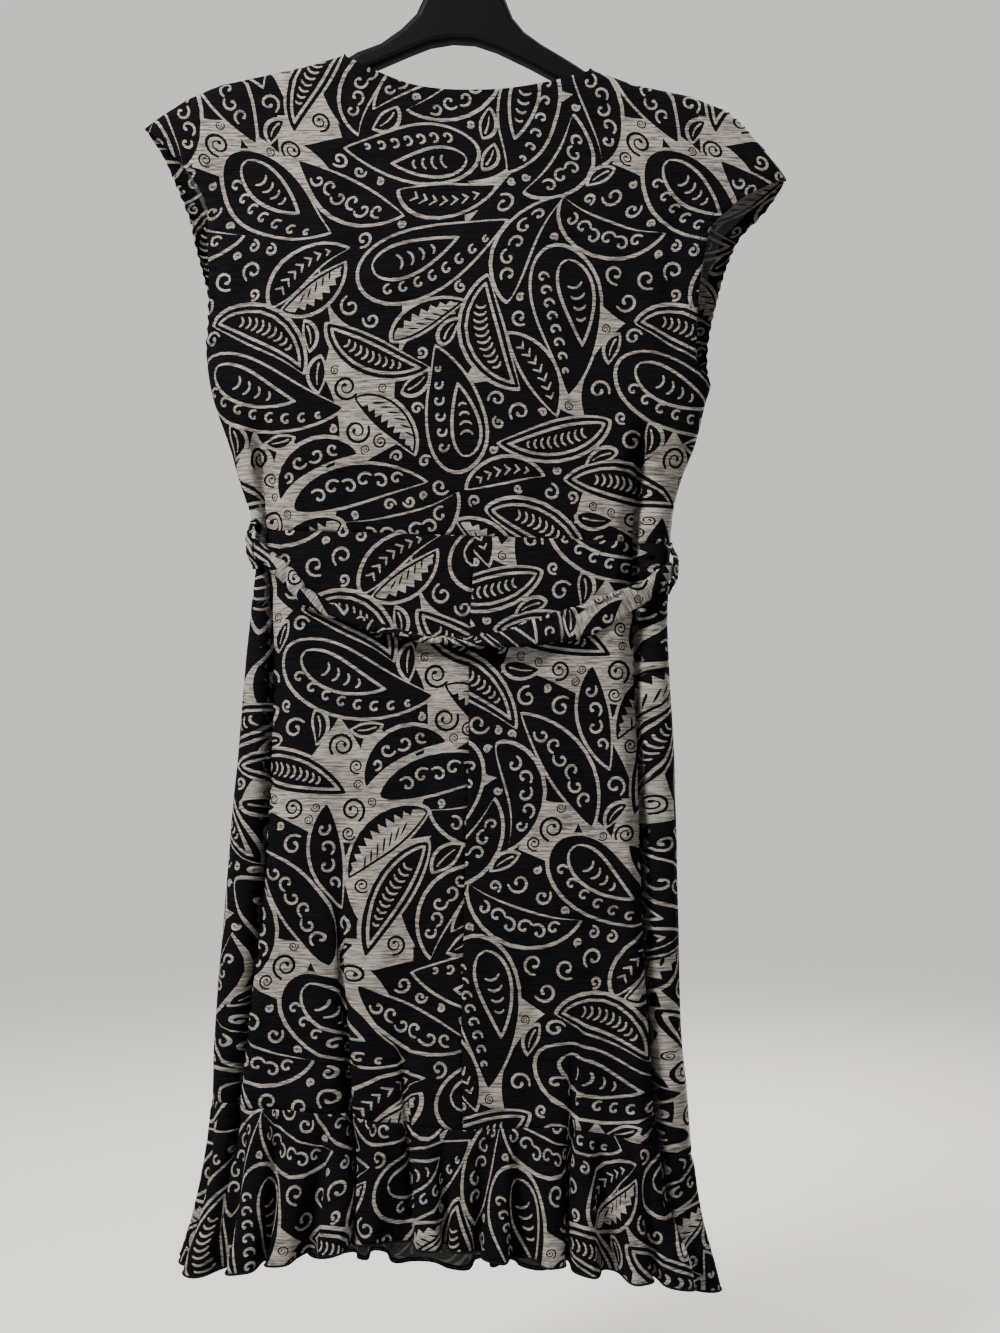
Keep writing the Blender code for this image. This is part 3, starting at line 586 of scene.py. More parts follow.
def paisley(rng, length, width, bend, fullness):
    """A big drop: curls in its outer band, an inner drop with bars."""
    parts = [(leaf(length, width, bend, fullness, count=19), INK)]
    side = 1 if rng.random() < 0.5 else -1
    share = 0.56
    inner_length, inner_width = length * 0.60, width * share
    base, angle = along_leaf(length, bend, 0.40, side * width * 0.13)
    shape = dict(length=inner_length, width=inner_width, bend=bend * 0.7, fullness=fullness)
    parts.append((put(leaf(inset=0.0, count=15, **shape), base, angle), GROUND))
    parts.append((put(leaf(inset=2.5, count=13, **shape), base, angle), INK))
    n = 4
    for k in range(n):
        t = 0.26 + 0.5 * (k + 0.5) / n
        size = (leaf_half(t, inner_width, fullness) - 2.3) * 0.55
        if size < 1.5:
            continue
        point, heading = along_leaf(inner_length, bend * 0.7, t)
        parts.append((put(bar(size, 2.0), base + turn(point, angle), angle + heading), GROUND))
    n = max(4, int(length / 14.5))
    for k in range(n):
        t = 0.12 + 0.78 * (k + 0.5) / n
        half = leaf_half(t, width, fullness)
        at, heading = along_leaf(length, bend, t, -side * half * 0.58)
        size = min(half * 0.29, 5.0)
        if size < 1.6:
            continue
        parts.append((put(curl(size, 0.75, 2.1, 12, side), at, heading + 1.3 * side), GROUND))
    return parts


def toothed_leaf(rng, length, width, bend, fullness):
    """A pale leaf inside a dark line, one half filled dark up to a toothed edge."""
    parts = [(leaf(length, width, bend, fullness), INK)]
    parts.append((leaf(length, width, bend, fullness, 2.0), GROUND))
    side = 1 if rng.random() < 0.5 else -1
    parts.append((saw(length, width, bend, fullness, side, max(4, int(length / 8)), 0.86), INK))
    n = max(3, int(length / 11))
    for k in range(n):
        t = 0.18 + 0.6 * (k + 0.5) / n
        half = leaf_half(t, width, fullness)
        start = aside(length, bend, np.array([t]), -side * 0.2 * half)[0]
        end = aside(length, bend, np.array([t + 0.11]), -side * 0.72 * half)[0]
        line = start + (end - start) * np.linspace(0, 1, 4)[:, None]
        parts.append((stroke(line, [0.9, 1.6, 1.3, 0.5]), INK))
    return parts


def plain_leaf(rng, length, width, bend, fullness):
    """A small dark leaf with a pale midrib."""
    parts = [(leaf(length, width, bend, fullness, count=11), INK)]
    if length > 17:
        t = np.linspace(0.16, 0.80, 7)
        line, _ = spine(length, bend, t)
        parts.append((stroke(line, np.linspace(1.7, 0.7, 7)), GROUND))
    return parts


def scroll(size, hand):
    """A dark tendril on the pale ground, wound in at its end."""
    t = np.linspace(0, 1, 24)
    angle = (1.65 * t - 0.12) * 2 * math.pi
    radius = size * (1.04 - 0.84 * t)
    line = np.stack([radius * np.cos(angle), hand * radius * np.sin(angle)], axis=-1)
    thick = min(2.5, 0.27 * size)
    widths = thick * (0.45 + 0.55 * np.sin(math.pi * np.minimum(t + 0.25, 1)))
    widths[-3:] = thick * np.array([1.0, 1.25, 1.05])
    return [(stroke(line, widths), INK)]


def flow(at):
    """The direction in which leaves lie at a place of the tile."""
    x, y = 2 * math.pi * at[0] / TILE[0], 2 * math.pi * at[1] / TILE[1]
    return 1.2 * math.sin(x + 0.7) + 1.3 * math.sin(y + 2.1) + 0.8 * math.sin(x + y) + 0.9


def inside(polygon, points):
    """Even-odd test of points (n, 2) against one polygon."""
    a, b = polygon, np.roll(polygon, -1, axis=0)
    found = np.zeros(len(points), bool)
    for (x0, y0), (x1, y1) in zip(a, b):
        if y0 == y1:
            continue
        crosses = (points[:, 1] >= min(y0, y1)) & (points[:, 1] < max(y0, y1))
        at = x0 + (points[crosses, 1] - y0) * (x1 - x0) / (y1 - y0)
        found[crosses] ^= points[crosses, 0] < at
    return found


def cells_in(polygon, cell=1.0):
    """Columns and rows of the cells whose middles lie inside a polygon."""
    low = np.floor(polygon.min(axis=0) / cell).astype(int)
    high = np.ceil(polygon.max(axis=0) / cell).astype(int)
    gx, gy = np.meshgrid(np.arange(low[0], high[0] + 1), np.arange(low[1], high[1] + 1))
    cells = np.stack([gx.ravel(), gy.ravel()], axis=-1)
    return cells[inside(polygon, (cells + 0.5) * cell)]


# Width of the pale line that is left free round each leaf.
RING = 2.4
LARGE = (
    # most placed, tries, lengths, width as a share of length, most bend, motif
    (7, 1500, (100, 128), (0.40, 0.48), 1.4, paisley),
    (7, 2000, (86, 108), (0.28, 0.36), 1.6, barred_leaf),
    (13, 3000, (82, 112), (0.26, 0.33), 1.9, curled_leaf),
    (6, 2500, (62, 84), (0.32, 0.40), 1.4, toothed_leaf),
    (9, 3000, (62, 84), (0.28, 0.34), 1.6, chevron_leaf),
)
SMALL = (
    (22, 3500, (44, 62), (0.34, 0.44), 1.5, curled_leaf),
    (12, 3000, (36, 50), (0.36, 0.46), 1.2, barred_leaf),
    (44, 4000, (22, 34), (0.36, 0.46), 1.2, plain_leaf),
)
# Large dark petals under the rest: how many, lengths, width as a share of length.
UNDERLAY = (36, (120, 200), (0.40, 0.52))
# Curls on the open ground: radius, most placed, tries.
BIG_CURLS = ((10.0, 22, 5000), (8.0, 30, 6000))
FINE_CURLS = ((5.8, 90, 7000), (3.8, 70, 5000))


class Room:
    """Which cells of the repeating tile are taken."""

    def __init__(self):
        self.taken = np.zeros(TILE[::-1].astype(int), bool)

    def at(self, points):
        rows, columns = self.taken.shape
        cells = np.floor(points).astype(int)
        return cells[:, 1] % rows, cells[:, 0] % columns

    def free(self, polygon):
        centre = polygon.mean(axis=0)
        for share in (1.0, 0.6, 0.2):
            if self.taken[self.at(centre + (polygon - centre) * share)].any():
                return False
        return not self.taken[self.at(cells_in(polygon))].any()

    def take(self, polygon):
        self.taken[self.at(cells_in(polygon))] = True


def random_leaf(rng, lengths, shares, most_bend, full):
    length = rng.uniform(*lengths)
    bend = rng.uniform(0.25, 1.0) * most_bend * rng.choice([-1, 1])
    return length, length * rng.uniform(*shares), bend, rng.uniform(*full)


def place_leaves(rng, room, kinds, gap, rings, leaves):
    for most, tries, lengths, shares, most_bend, make in kinds:
        placed = 0
        for _ in range(tries):
            if placed >= most:
                break
            at = rng.random(2) * TILE
            full = (0.60, 0.70) if make is paisley else (0.72, 1.0)
            length, width, bend, fullness = random_leaf(rng, lengths, shares, most_bend, full)
            angle = flow(at) + rng.normal(0, 0.4) + math.pi * rng.integers(0, 2)
            wide = put(leaf(length + 2.6 * gap, width + 2 * gap, bend, fullness), at, angle)
            if not room.free(wide):
                continue
            room.take(put(leaf(length, width, bend, fullness), at, angle))
            ring = leaf(length + 2.4 * RING, width + 2 * RING, bend, fullness, count=17)
            rings.append((put(ring, at, angle), GROUND))
            parts = make(rng, length, width, bend, fullness)
            leaves.extend((put(p, at, angle), c) for p, c in parts)
            placed += 1


def place_curls(rng, room, sizes, below, curls):
    """Dark curls on open pale ground and pale hooks on open dark ground."""
    ground = picture(below, 1.0)
    for size, most, tries in sizes:
        placed = 0
        for _ in range(tries):
            if placed >= most:
                break
            at = rng.random(2) * TILE
            disc = drop(size + 1.6) + at
            if not room.free(disc):
                continue
            share = ground[room.at(cells_in(disc))].mean()
            if share not in (0.0, 1.0):
                continue
            hand = rng.choice([-1, 1])
            angle = rng.random() * 2 * math.pi
            if share == 1.0:
                shape = [(curl(size * 0.9, 1.05, 2.3, 15, hand), GROUND)]
            else:
                shape = scroll(size, hand)
            room.take(disc)
            curls.extend((put(p, at, angle), c) for p, c in shape)
            placed += 1


def layout(seed=11, gap=2.1):
    """The repeating tile's (polygon, colour) pairs in painter's order."""
    rng = np.random.default_rng(seed)
    room = Room()
    under, rings, leaves, curls = [], [], [], []
    count, lengths, shares = UNDERLAY
    for _ in range(count):
        at = rng.random(2) * TILE
        length, width, bend, _ = random_leaf(rng, lengths, shares, 1.6, (1.0, 1.0))
        under.append((put(petal(length, width, bend), at, flow(at) + rng.normal(0, 0.5)), INK))
    place_leaves(rng, room, LARGE, gap, rings, leaves)
    place_curls(rng, room, BIG_CURLS, under + rings, curls)
    place_leaves(rng, room, SMALL, gap, rings, leaves)
    place_curls(rng, room, FINE_CURLS, under + rings, curls)
    return under + rings + leaves + curls


def picture(motifs, cell=CELL):
    """The tile as a raster of ink and ground, painted in order; it repeats in both directions."""
    raster = np.zeros(np.round(TILE[::-1] / cell).astype(int), np.uint8)
    rows, columns = raster.shape
    for polygon, colour in motifs:
        hit = cells_in(polygon, cell)
        raster[hit[:, 1] % rows, hit[:, 0] % columns] = colour
    return raster


MOTIFS = layout()
MOTIF_BOXES = [(p.min(axis=0), p.max(axis=0)) for p, _ in MOTIFS]
PRINT = picture(MOTIFS)


# ---------------------------------------------------------------- finishes

HEATHER = (0.160, 0.147, 0.130, 1.0)
HEATHER_DARK = (0.038, 0.034, 0.030, 1.0)
INK_COLOUR = (0.0010, 0.0010, 0.0013, 1.0)
INK_LIGHT = (0.0026, 0.0026, 0.0030, 1.0)
WRONG_HEATHER = (0.120, 0.115, 0.108, 1.0)
WRONG_HEATHER_DARK = (0.045, 0.043, 0.040, 1.0)
WRONG_INK = (0.020, 0.020, 0.0205, 1.0)
WRONG_INK_LIGHT = (0.036, 0.036, 0.036, 1.0)
# The specular level of thread and plastic, and the roughness of the knit and its sheen.
SOFT_GLOSS = 0.035
KNIT_ROUGHNESS, SHEEN_ROUGHNESS = 0.88, 0.45
# The knit's slubs and wales, in millimetres of the cut.
SLUB_PITCH, SLUB_LENGTH, WALE_PITCH = 1.35, 17.0, 1.1


def add_node(tree, kind, values, **settings):
    """A node with its settings, then its inputs: each a value, or an output to link from."""
    node = tree.nodes.new(kind)
    for name, value in settings.items():
        setattr(node, name, value)
    for name, value in values.items():
        if isinstance(value, bpy.types.NodeSocket):
            tree.links.new(value, node.inputs[name])
        else:
            node.inputs[name].default_value = value
    return node


def add_scaled(tree, value, factor, other):
    """value * factor + other"""
    values = {0: value, 1: factor, 2: other}
    return add_node(tree, "ShaderNodeMath", values, operation="MULTIPLY_ADD").outputs[0]


def colour_and_relief(tree, shader, factor, dark, pale, height, strength, depth):
    """Links the base colour, dark to pale, and the surface relief."""
    values = {"A": dark, "B": pale, "Factor": factor}
    blend = add_node(tree, "ShaderNodeMix", values, data_type="RGBA")
    bump = add_node(
        tree, "ShaderNodeBump", {"Strength": strength, "Distance": depth, "Height": height}
    )
    tree.links.new(blend.outputs["Result"], shader.inputs["Base Color"])
    tree.links.new(bump.outputs["Normal"], shader.inputs["Normal"])


def new_finish(name, roughness):
    finish = bpy.data.materials.new(name)
    finish.use_nodes = True
    shader = finish.node_tree.nodes["Principled BSDF"]
    shader.inputs["Roughness"].default_value = roughness
    return finish, shader


def jersey(name, pale, dark, low, high, sheen, gloss):
    """Knit with short dark slubs that lie across the piece, and fine upright wales."""
    finish, shader = new_finish(name, KNIT_ROUGHNESS)
    shader.inputs["Sheen Weight"].default_value = sheen
    shader.inputs["Sheen Roughness"].default_value = SHEEN_ROUGHNESS
    shader.inputs["Specular IOR Level"].default_value = gloss
    tree = finish.node_tree
    cut = add_node(tree, "ShaderNodeUVMap", {}, uv_map="cut").outputs["UV"]

    def noise(across, up, detail, seed):
        scale, start = (1000 / across, 1000 / up, 1), (seed, seed * 1.7, 0)
        place = add_node(
            tree, "ShaderNodeMapping", {"Vector": cut, "Scale": scale, "Location": start}
        )
        values = {"Vector": place.outputs["Vector"], "Scale": 1.0, "Detail": detail}
        return add_node(tree, "ShaderNodeTexNoise", values).outputs["Fac"]

    slub = noise(SLUB_LENGTH, SLUB_PITCH, 1.5, 3.1)
    fleck = noise(SLUB_LENGTH * 0.3, SLUB_PITCH * 0.6, 1.0, 9.4)
    cloud = noise(70, 26, 1.0, 5.2)
    shade = add_scaled(tree, cloud, 0.22, add_scaled(tree, fleck, 0.45, slub))
    ramp = add_node(
        tree, "ShaderNodeMapRange", {"Value": shade, "From Min": low, "From Max": high}
    )
    wave_scale = 1000 / WALE_PITCH / (2 * math.pi)
    wale = add_node(
        tree, "ShaderNodeTexWave", {"Vector": cut, "Scale": wave_scale, "Distortion": 0.6},
        bands_direction="X",
    )
    relief = add_scaled(tree, wale.outputs["Fac"], 0.35, slub)
    colour_and_relief(tree, shader, ramp.outputs["Result"], dark, pale, relief, 0.35, 0.0003)
    return finish


def grainy(name, colour, light, roughness, scale, depth, metallic=0.0):
    """A plain finish with a little unevenness in its colour and relief."""
    finish, shader = new_finish(name, roughness)
    shader.inputs["Metallic"].default_value = metallic
    if metallic == 0.0:
        shader.inputs["Specular IOR Level"].default_value = SOFT_GLOSS
    tree = finish.node_tree
    place = add_node(tree, "ShaderNodeTexCoord", {}).outputs["Object"]
    values = {"Vector": place, "Scale": scale, "Detail": 4.0}
    grain = add_node(tree, "ShaderNodeTexNoise", values).outputs["Fac"]
    values = {"Value": grain, "To Min": roughness - 0.07, "To Max": roughness + 0.07}
    gloss = add_node(tree, "ShaderNodeMapRange", values)
    tree.links.new(gloss.outputs["Result"], shader.inputs["Roughness"])
    colour_and_relief(tree, shader, grain, colour, light, grain, 0.4, depth)
    return finish


CLOTH = [
    jersey("heather", HEATHER, HEATHER_DARK, 0.66, 1.00, 0.04, 0.10),
    jersey("ink", INK_LIGHT, INK_COLOUR, 0.60, 1.05, 0.002, 0.012),
    jersey("heather_wrong_side", WRONG_HEATHER, WRONG_HEATHER_DARK, 0.62, 1.00, 0.02, 0.05),
    jersey("ink_wrong_side", WRONG_INK_LIGHT, WRONG_INK, 0.60, 1.00, 0.004, 0.03),
]
THREAD = grainy(
    "black_thread", (0.0015, 0.0015, 0.0016, 1), (0.004, 0.004, 0.004, 1), 0.8, 2500, 0.0003
)
PLASTIC = grainy(
    "black_plastic", (0.0014, 0.0014, 0.0015, 1), (0.0022, 0.0022, 0.0023, 1), 0.5, 900, 0.00008
)
PLASTIC_DARK = grainy(
    "black_plastic_pip", (0.004, 0.004, 0.004, 1), (0.007, 0.007, 0.007, 1), 0.5, 900, 0.00005
)
STEEL = grainy(
    "bright_steel", (0.58, 0.58, 0.59, 1), (0.68, 0.68, 0.69, 1), 0.24, 700, 0.00002, 1.0
)


# ---------------------------------------------------------------- printed sheets

# The cloth's thickness, and how far its outer side stands off the tube.
THICK = 0.9
STAND = 1.5
# Rows of grid points lie this share of the spacing apart, each a little off level.
ROW_SHARE, ROW_SLANT = 0.87, 0.013
SNAP, LEAST_AREA = 1e-4, 1e-5


def dense(points, step):
    """A closed outline with points at most `step` apart."""
    result = []
    for a, b in zip(points, np.roll(points, -1, axis=0)):
        count = max(1, int(math.ceil(np.linalg.norm(b - a) / step)))
        result += [a + (b - a) * k / count for k in range(count)]
    return np.array(result)


def shifted_motifs(low, high, shift):
    """The print's polygons that touch a box of the cut plane."""
    found = []
    first = np.floor((low - shift) / TILE).astype(int) - 1
    last = np.ceil((high - shift) / TILE).astype(int) + 1
    for i in range(first[0], last[0] + 1):
        for j in range(first[1], last[1] + 1):
            move = shift + TILE * (i, j)
            for (box_low, box_high), polygon in zip(MOTIF_BOXES, MOTIFS):
                if (box_low + move < high).all() and (box_high + move > low).all():
                    found.append(polygon[0] + move)
    return found


def cut_flat(outline, shift, spacing, extra):
    """Triangles of a cut piece whose edges follow the print. Gives points, triangles, ink."""
    low, high = outline.min(axis=0), outline.max(axis=0)
    points = [outline]
    edges = []
    count = len(outline)
    for polygon in shifted_motifs(low - 1, high + 1, shift):
        n = len(polygon)
        at = count + np.arange(n)
        edges.append(np.stack([at, np.roll(at, -1)], axis=-1))
        points.append(polygon)
        count += n
    rows = np.arange(low[1] + spacing / 2, high[1], spacing * ROW_SHARE)
    for k, row in enumerate(rows):
        across = np.arange(low[0] + spacing * (0.25 + 0.5 * (k % 2)), high[0], spacing)
        points.append(np.stack([across, row + ROW_SLANT * across / spacing], axis=-1))
    points = np.concatenate(points + [extra])
    edges = np.concatenate(edges) if edges else np.zeros((0, 2), int)
    made, _, triangles, *_ = delaunay_2d_cdt(
        [Vector(p) for p in points], edges.tolist(), [list(range(len(outline)))], 1, SNAP, False
    )
    made = np.array([tuple(p) for p in made])
    triangles = np.array([t for t in triangles if len(t) == 3])
    a, b, c = (made[triangles[:, k]] for k in range(3))
    area = np.cross(b - a, c - a)
    triangles[area < 0] = triangles[area < 0][:, ::-1]
    middle = made[triangles].mean(axis=1)
    kept = inside(outline, middle) & (np.abs(area) > LEAST_AREA)
    triangles, middle = triangles[kept], middle[kept]
    cells = np.floor((middle - shift) / CELL).astype(int)
    ink = PRINT[cells[:, 1] % PRINT.shape[0], cells[:, 0] % PRINT.shape[1]]
    used, renumbered = np.unique(triangles, return_inverse=True)
    return made[used], renumbered.reshape(-1, 3), ink


def rim_edges(triangles):
    """Directed edges used by one triangle only."""
    edges = np.concatenate([triangles[:, [0, 1]], triangles[:, [1, 2]], triangles[:, [2, 0]]])
    owner = np.tile(np.arange(len(triangles)), 3)
    key = np.sort(edges, axis=1)
    _, index, count = np.unique(key, axis=0, return_inverse=True, return_counts=True)
    alone = count[index.reshape(-1)] == 1
    return edges[alone], owner[alone]


def mesh_of(name, points, triangles, slots, uv, materials):
    mesh = bpy.data.meshes.new(name)
    mesh.vertices.add(len(points))
    mesh.vertices.foreach_set("co", (points * MM).astype(np.float32).ravel())
    mesh.loops.add(3 * len(triangles))
    mesh.loops.foreach_set("vertex_index", triangles.astype(np.int32).ravel())
    mesh.polygons.add(len(triangles))
    mesh.polygons.foreach_set("loop_start", np.arange(0, 3 * len(triangles), 3, dtype=np.int32))
    mesh.polygons.foreach_set("material_index", slots.astype(np.int32))
    layer = mesh.uv_layers.new(name="cut")
    layer.data.foreach_set("uv", (uv[triangles.ravel()] * MM).astype(np.float32).ravel())
    for material in materials:
        mesh.materials.append(material)
    mesh.update(calc_edges=True)
    mesh.validate()
    mesh.shade_smooth()
    made = bpy.data.objects.new(name, mesh)
    bpy.context.scene.collection.objects.link(made)
    return made


def printed_sheet(
    name, outline, place, shift, spacing, replaced, held, rests_on, slot,
    stand=STAND, thick=THICK, turned_in=None, extra=np.zeros((0, 2)),
):
    """Cuts a piece with its print, lays it with place(points, stand) and gives it thickness.

    turned_in(points) tells where the inside shows a turned-in edge, right side out, and
    `extra` holds more points of the cut plane for small folds.
    """
    outline = dense(outline, spacing)
    flat, triangles, ink = cut_flat(outline, np.array(shift, float), spacing, extra)
    outer = place(flat, stand)
    inner = place(flat, stand - thick)
    a, b, c = (outer[triangles[:, k]] for k in range(3))
    facing = np.cross(b - a, c - a)
    out = (outer - inner)[triangles[:, 0]]
    if np.sum(facing * out) < 0:
        triangles = triangles[:, ::-1]
    edges, owner = rim_edges(triangles)
    n = len(flat)
    p, q = edges[:, 0], edges[:, 1]
    rim = np.concatenate([np.stack([q, p, p + n], axis=-1), np.stack([q, p + n, q + n], axis=-1)])
    rim_ink = np.concatenate([ink[owner], ink[owner]])
    every = np.concatenate([triangles, triangles[:, ::-1] + n, rim])
    lining = ink + 2
    if turned_in is not None:
        lining = np.where(turned_in(flat[triangles].mean(axis=1)), ink, lining)
    slots = np.concatenate([ink, lining, rim_ink])
    made = mesh_of(
        name, np.concatenate([outer, inner]), every, slots, np.concatenate([flat, flat]), CLOTH
    )
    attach(made, "root")
    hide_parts(*replaced)
    return made


# ---------------------------------------------------------------- the hang of the cloth

CREASES = (
    # face, x and z at the top, x and z at the bottom, depth (below 0 a ridge), half width
    (BACK, -150, -215, -128, -420, 2.6, 16),
    (BACK, -190, -235, -176, -380, 3.0, 11),
    (BACK, -88, -230, -100, -360, 1.6, 20),
    (BACK, 140, -225, 118, -430, 2.6, 16),
    (BACK, 172, -250, 160, -400, 3.0, 10),
    (BACK, 92, -215, 84, -330, 1.6, 20),
    (BACK, -30, -200, -18, -300, -1.4, 26),
    (BACK, 36, -205, 22, -310, -1.2, 24),
    (BACK, -60, -440, -52, -530, 2.0, 12),
    (BACK, 12, -455, 8, -532, 1.6, 12),
    (BACK, 66, -450, 60, -534, 2.0, 12),
    (BACK, -112, -455, -108, -530, -2.0, 10),
    (BACK, 112, -470, 106, -540, -1.8, 10),
    (BACK, -56, -548, -58, -700, 1.8, 15),
    (BACK, 88, -552, 92, -760, 2.4, 14),
    (BACK, -118, -560, -122, -700, 2.2, 12),
    (BACK, -38, -700, -52, -985, 2.6, 16),
    (BACK, 20, -650, 24, -800, 1.6, 16),
    (BACK, 104, -820, 118, -1020, 3.0, 13),
    (BACK, -132, -800, -146, -1030, 3.0, 12),
    (BACK, -70, -860, -74, -1010, -2.4, 12),
    (BACK, 4, -850, -4, -1020, -2.2, 14),
    (BACK, 80, -900, 88, -1030, -2.2, 12),
    (FRONT, -120, -240, -96, -430, 2.4, 16),
    (FRONT, 118, -235, 92, -440, 2.4, 16),
    (FRONT, 66, -270, 30, -470, 2.2, 14),
    (FRONT, -70, -300, -46, -450, 1.8, 14),
    (FRONT, 30, -380, -18, -520, 2.4, 11),
    (FRONT, -10, -430, -52, -528, 2.2, 10),
    (FRONT, 84, -430, 62, -532, 2.0, 11),
    (FRONT, 8, -552, 22, -760, 3.0, 14),
    (FRONT, -36, -556, -48, -720, 2.4, 13),
    (FRONT, 62, -556, 84, -740, 2.2, 14),
    (FRONT, -98, -560, -112, -800, 2.4, 14),
    (FRONT, 112, -580, 122, -860, 2.4, 14),
    (FRONT, -10, -760, -16, -1020, 2.8, 15),
    (FRONT, 96, -860, 110, -1030, 2.8, 13),
    (FRONT, -120, -850, -134, -1030, 2.8, 13),
    (FRONT, 36, -900, 42, -1040, -2.4, 12),
)
CREASE_FADE = 40.0
VALLEYS = (
    # face, rows of height, x, extra depth, half width, then the height of the ridge beside it
    # (above 0 on its side towards +x, below 0 on the other), and how far its lips close
    (
        BACK,
        (
            (-425, -177, 0.5, 8.0),
            (-470, -175, 6.0, 7.5),
            (-545, -172, 10.0, 7.0),
            (-640, -166, 14.0, 6.5),
            (-800, -171, 15.0, 6.5),
            (-960, -187, 17.0, 6.5),
            (-1060, -201, 17.0, 7.5),
            (-1125, -212, 10.0, 8.5),
        ),
        3.0,
        0.62,
    ),
    (
        BACK,
        (
            (-428, 142, 1.0, 7.5),
            (-472, 141, 10.0, 7.0),
            (-560, 138, 18.0, 7.5),
            (-640, 141, 22.0, 8.0),
            (-800, 146, 22.0, 8.5),
            (-960, 153, 22.0, 9.5),
            (-1060, 161, 20.0, 11.0),
            (-1125, 168, 13.0, 13.0),
        ),
        -4.5,
        0.60,
    ),
    (
        BACK,
        (
            (-800, -104, 0.5, 12.0),
            (-880, -102, 4.0, 10.0),
            (-950, -98, 12.0, 8.5),
            (-1060, -91, 16.0, 8.5),
            (-1125, -86, 13.0, 9.0),
        ),
        2.0,
        0.60,
    ),
    (
        BACK,
        (
            (-905, -54, 0.5, 12.0),
            (-985, -50, 7.0, 9.0),
            (-1060, -44, 10.0, 8.0),
            (-1120, -40, 7.0, 8.0),
        ),
        1.6,
        0.50,
    ),
    (
        BACK,
        (
            (-900, 84, 0.5, 12.0),
            (-990, 82, 6.0, 9.0),
            (-1060, 80, 12.0, 8.5),
            (-1125, 80, 9.0, 9.0),
        ),
        -2.0,
        0.55,
    ),
)
# The ridge beside a deep fold lies this many half widths from its middle.
RIDGE_OFF = 1.8
# How far a crease wanders sideways, how often, and how far it runs out past its ends.
CREASE_WANDER, CREASE_TURNS, CREASE_PAST = 0.18, 5.0, 12
# The groove along a seam: its depth and how far it reaches.
SEAM_DIP, SEAM_REACH = 0.8, 3.0
# Ripples fade out over this share beside the side seams.
RIPPLE_FADE = 0.12
RIPPLES = (
    # waves round the body, waves down it, offset, height
    (2.3, 3.1, 0.4, 0.8),
    (4.7, 2.2, 1.9, 0.6),
    (7.1, 5.3, 3.3, 0.45),
    (3.9, 8.4, 5.1, 0.4),
)


def crease_depth(face, angle, z):
    """The smaller creases of this face, as a push inwards."""
    total = np.zeros(np.shape(angle))
    at = arc_at(face, angle, z)
    for side, x0, z0, x1, z1, depth, width in CREASES:
        if side != face:
            continue
        down = np.clip((z0 - z) / (z0 - z1), 0, 1)
        wander = CREASE_WANDER * width * np.sin(down * CREASE_TURNS + x0)
        line = angle_of(face, x0 + (x1 - x0) * down + wander, z)
        away = at - arc_at(face, line, z)
        above = ease((z0 + CREASE_PAST - z) / CREASE_FADE)
        fade = above * ease((z - z1 + CREASE_PAST) / CREASE_FADE)
        total += depth * fade * np.exp(-((away / width) ** 2))
    return total


def valleys(face, angle, z):
    """The deep folds by the side seams: push inwards, and push sideways that closes their lips."""
    deep, aside = np.zeros(np.shape(angle)), np.zeros(np.shape(angle))
    for side, rows, ridge, closing in VALLEYS:
        if side != face:
            continue
        table = np.array(rows, float)[::-1]
        x, depth, width = (through(table[:, 0], table[:, k], z) for k in (1, 2, 3))
        away = (arc_at(face, angle, z) - arc_at(face, angle_of(face, x, z), z)) / width
        fade = between(z, table[0, 0], FOLD_FADE, table[-1, 0], FOLD_FADE)
        beside = away - RIDGE_OFF * np.sign(ridge)
        deep += fade * (depth * np.exp(-(away**2)) - abs(ridge) * np.exp(-(beside**2)))
        aside -= closing * width * fade * away**3 * np.exp(1.5 - 1.5 * away**2)
    return deep, aside


def ripple(face, angle, z):
    share = share_at(face, angle, z)
    edge = ease((1 - np.abs(share)) / RIPPLE_FADE)
    total = np.zeros(np.shape(angle))
    for across, down, offset, height in RIPPLES:
        total += height * np.sin(across * share * 2 + down * z / 90 + offset + face)
    return total * edge


def dip(distance):
    """The groove along a seam, from the distance to it."""
    return SEAM_DIP * (1 - ease(np.abs(distance) / SEAM_REACH))


# Each flute of the back and the front in turn: how deep it is beside its solid's swing, how
# late it opens below the seam, and how far it drifts sideways, in parts of a wave.
FLUTE_HANDS = (
    # depth, opening, drift
    (1.30, 0.9, 0.10),
    (1.55, 0.7, -0.15),
    (1.05, 1.5, 0.20),
    (1.60, 0.8, -0.10),
    (1.20, 1.7, 0.25),
    (1.45, 1.0, -0.25),
    (0.95, 1.3, 0.05),
    (1.50, 0.8, 0.22),
    (1.15, 1.8, -0.20),
    (1.55, 0.7, 0.12),
    (1.25, 1.2, -0.18),
    (1.45, 0.8, 0.15),
)
SIDE_HAND = (1.2, 1.0, 0)
# How far the flutes lean over, and how high their crests stand in parts of their swing.
FLUTE_LEAN, FLUTE_CREST = 0.20, 0.88
FLUTE_SHAPE = {
    # how much the crests are rounded, how steep the walls stand, how broad the crests are
    BACK: (0.58, 0.30, 1.25),
    FRONT: (0.25, 0.34, 1.0),
}
# The gathers under the ruffle's seam: their height, and where they come in and go out again
# as a share of the ruffle's length. Then the height at which the hem is measured.
GATHER, GATHER_IN, GATHER_OUT = 0.9, 0.04, 0.45
HEM_LEVEL = -1100.0


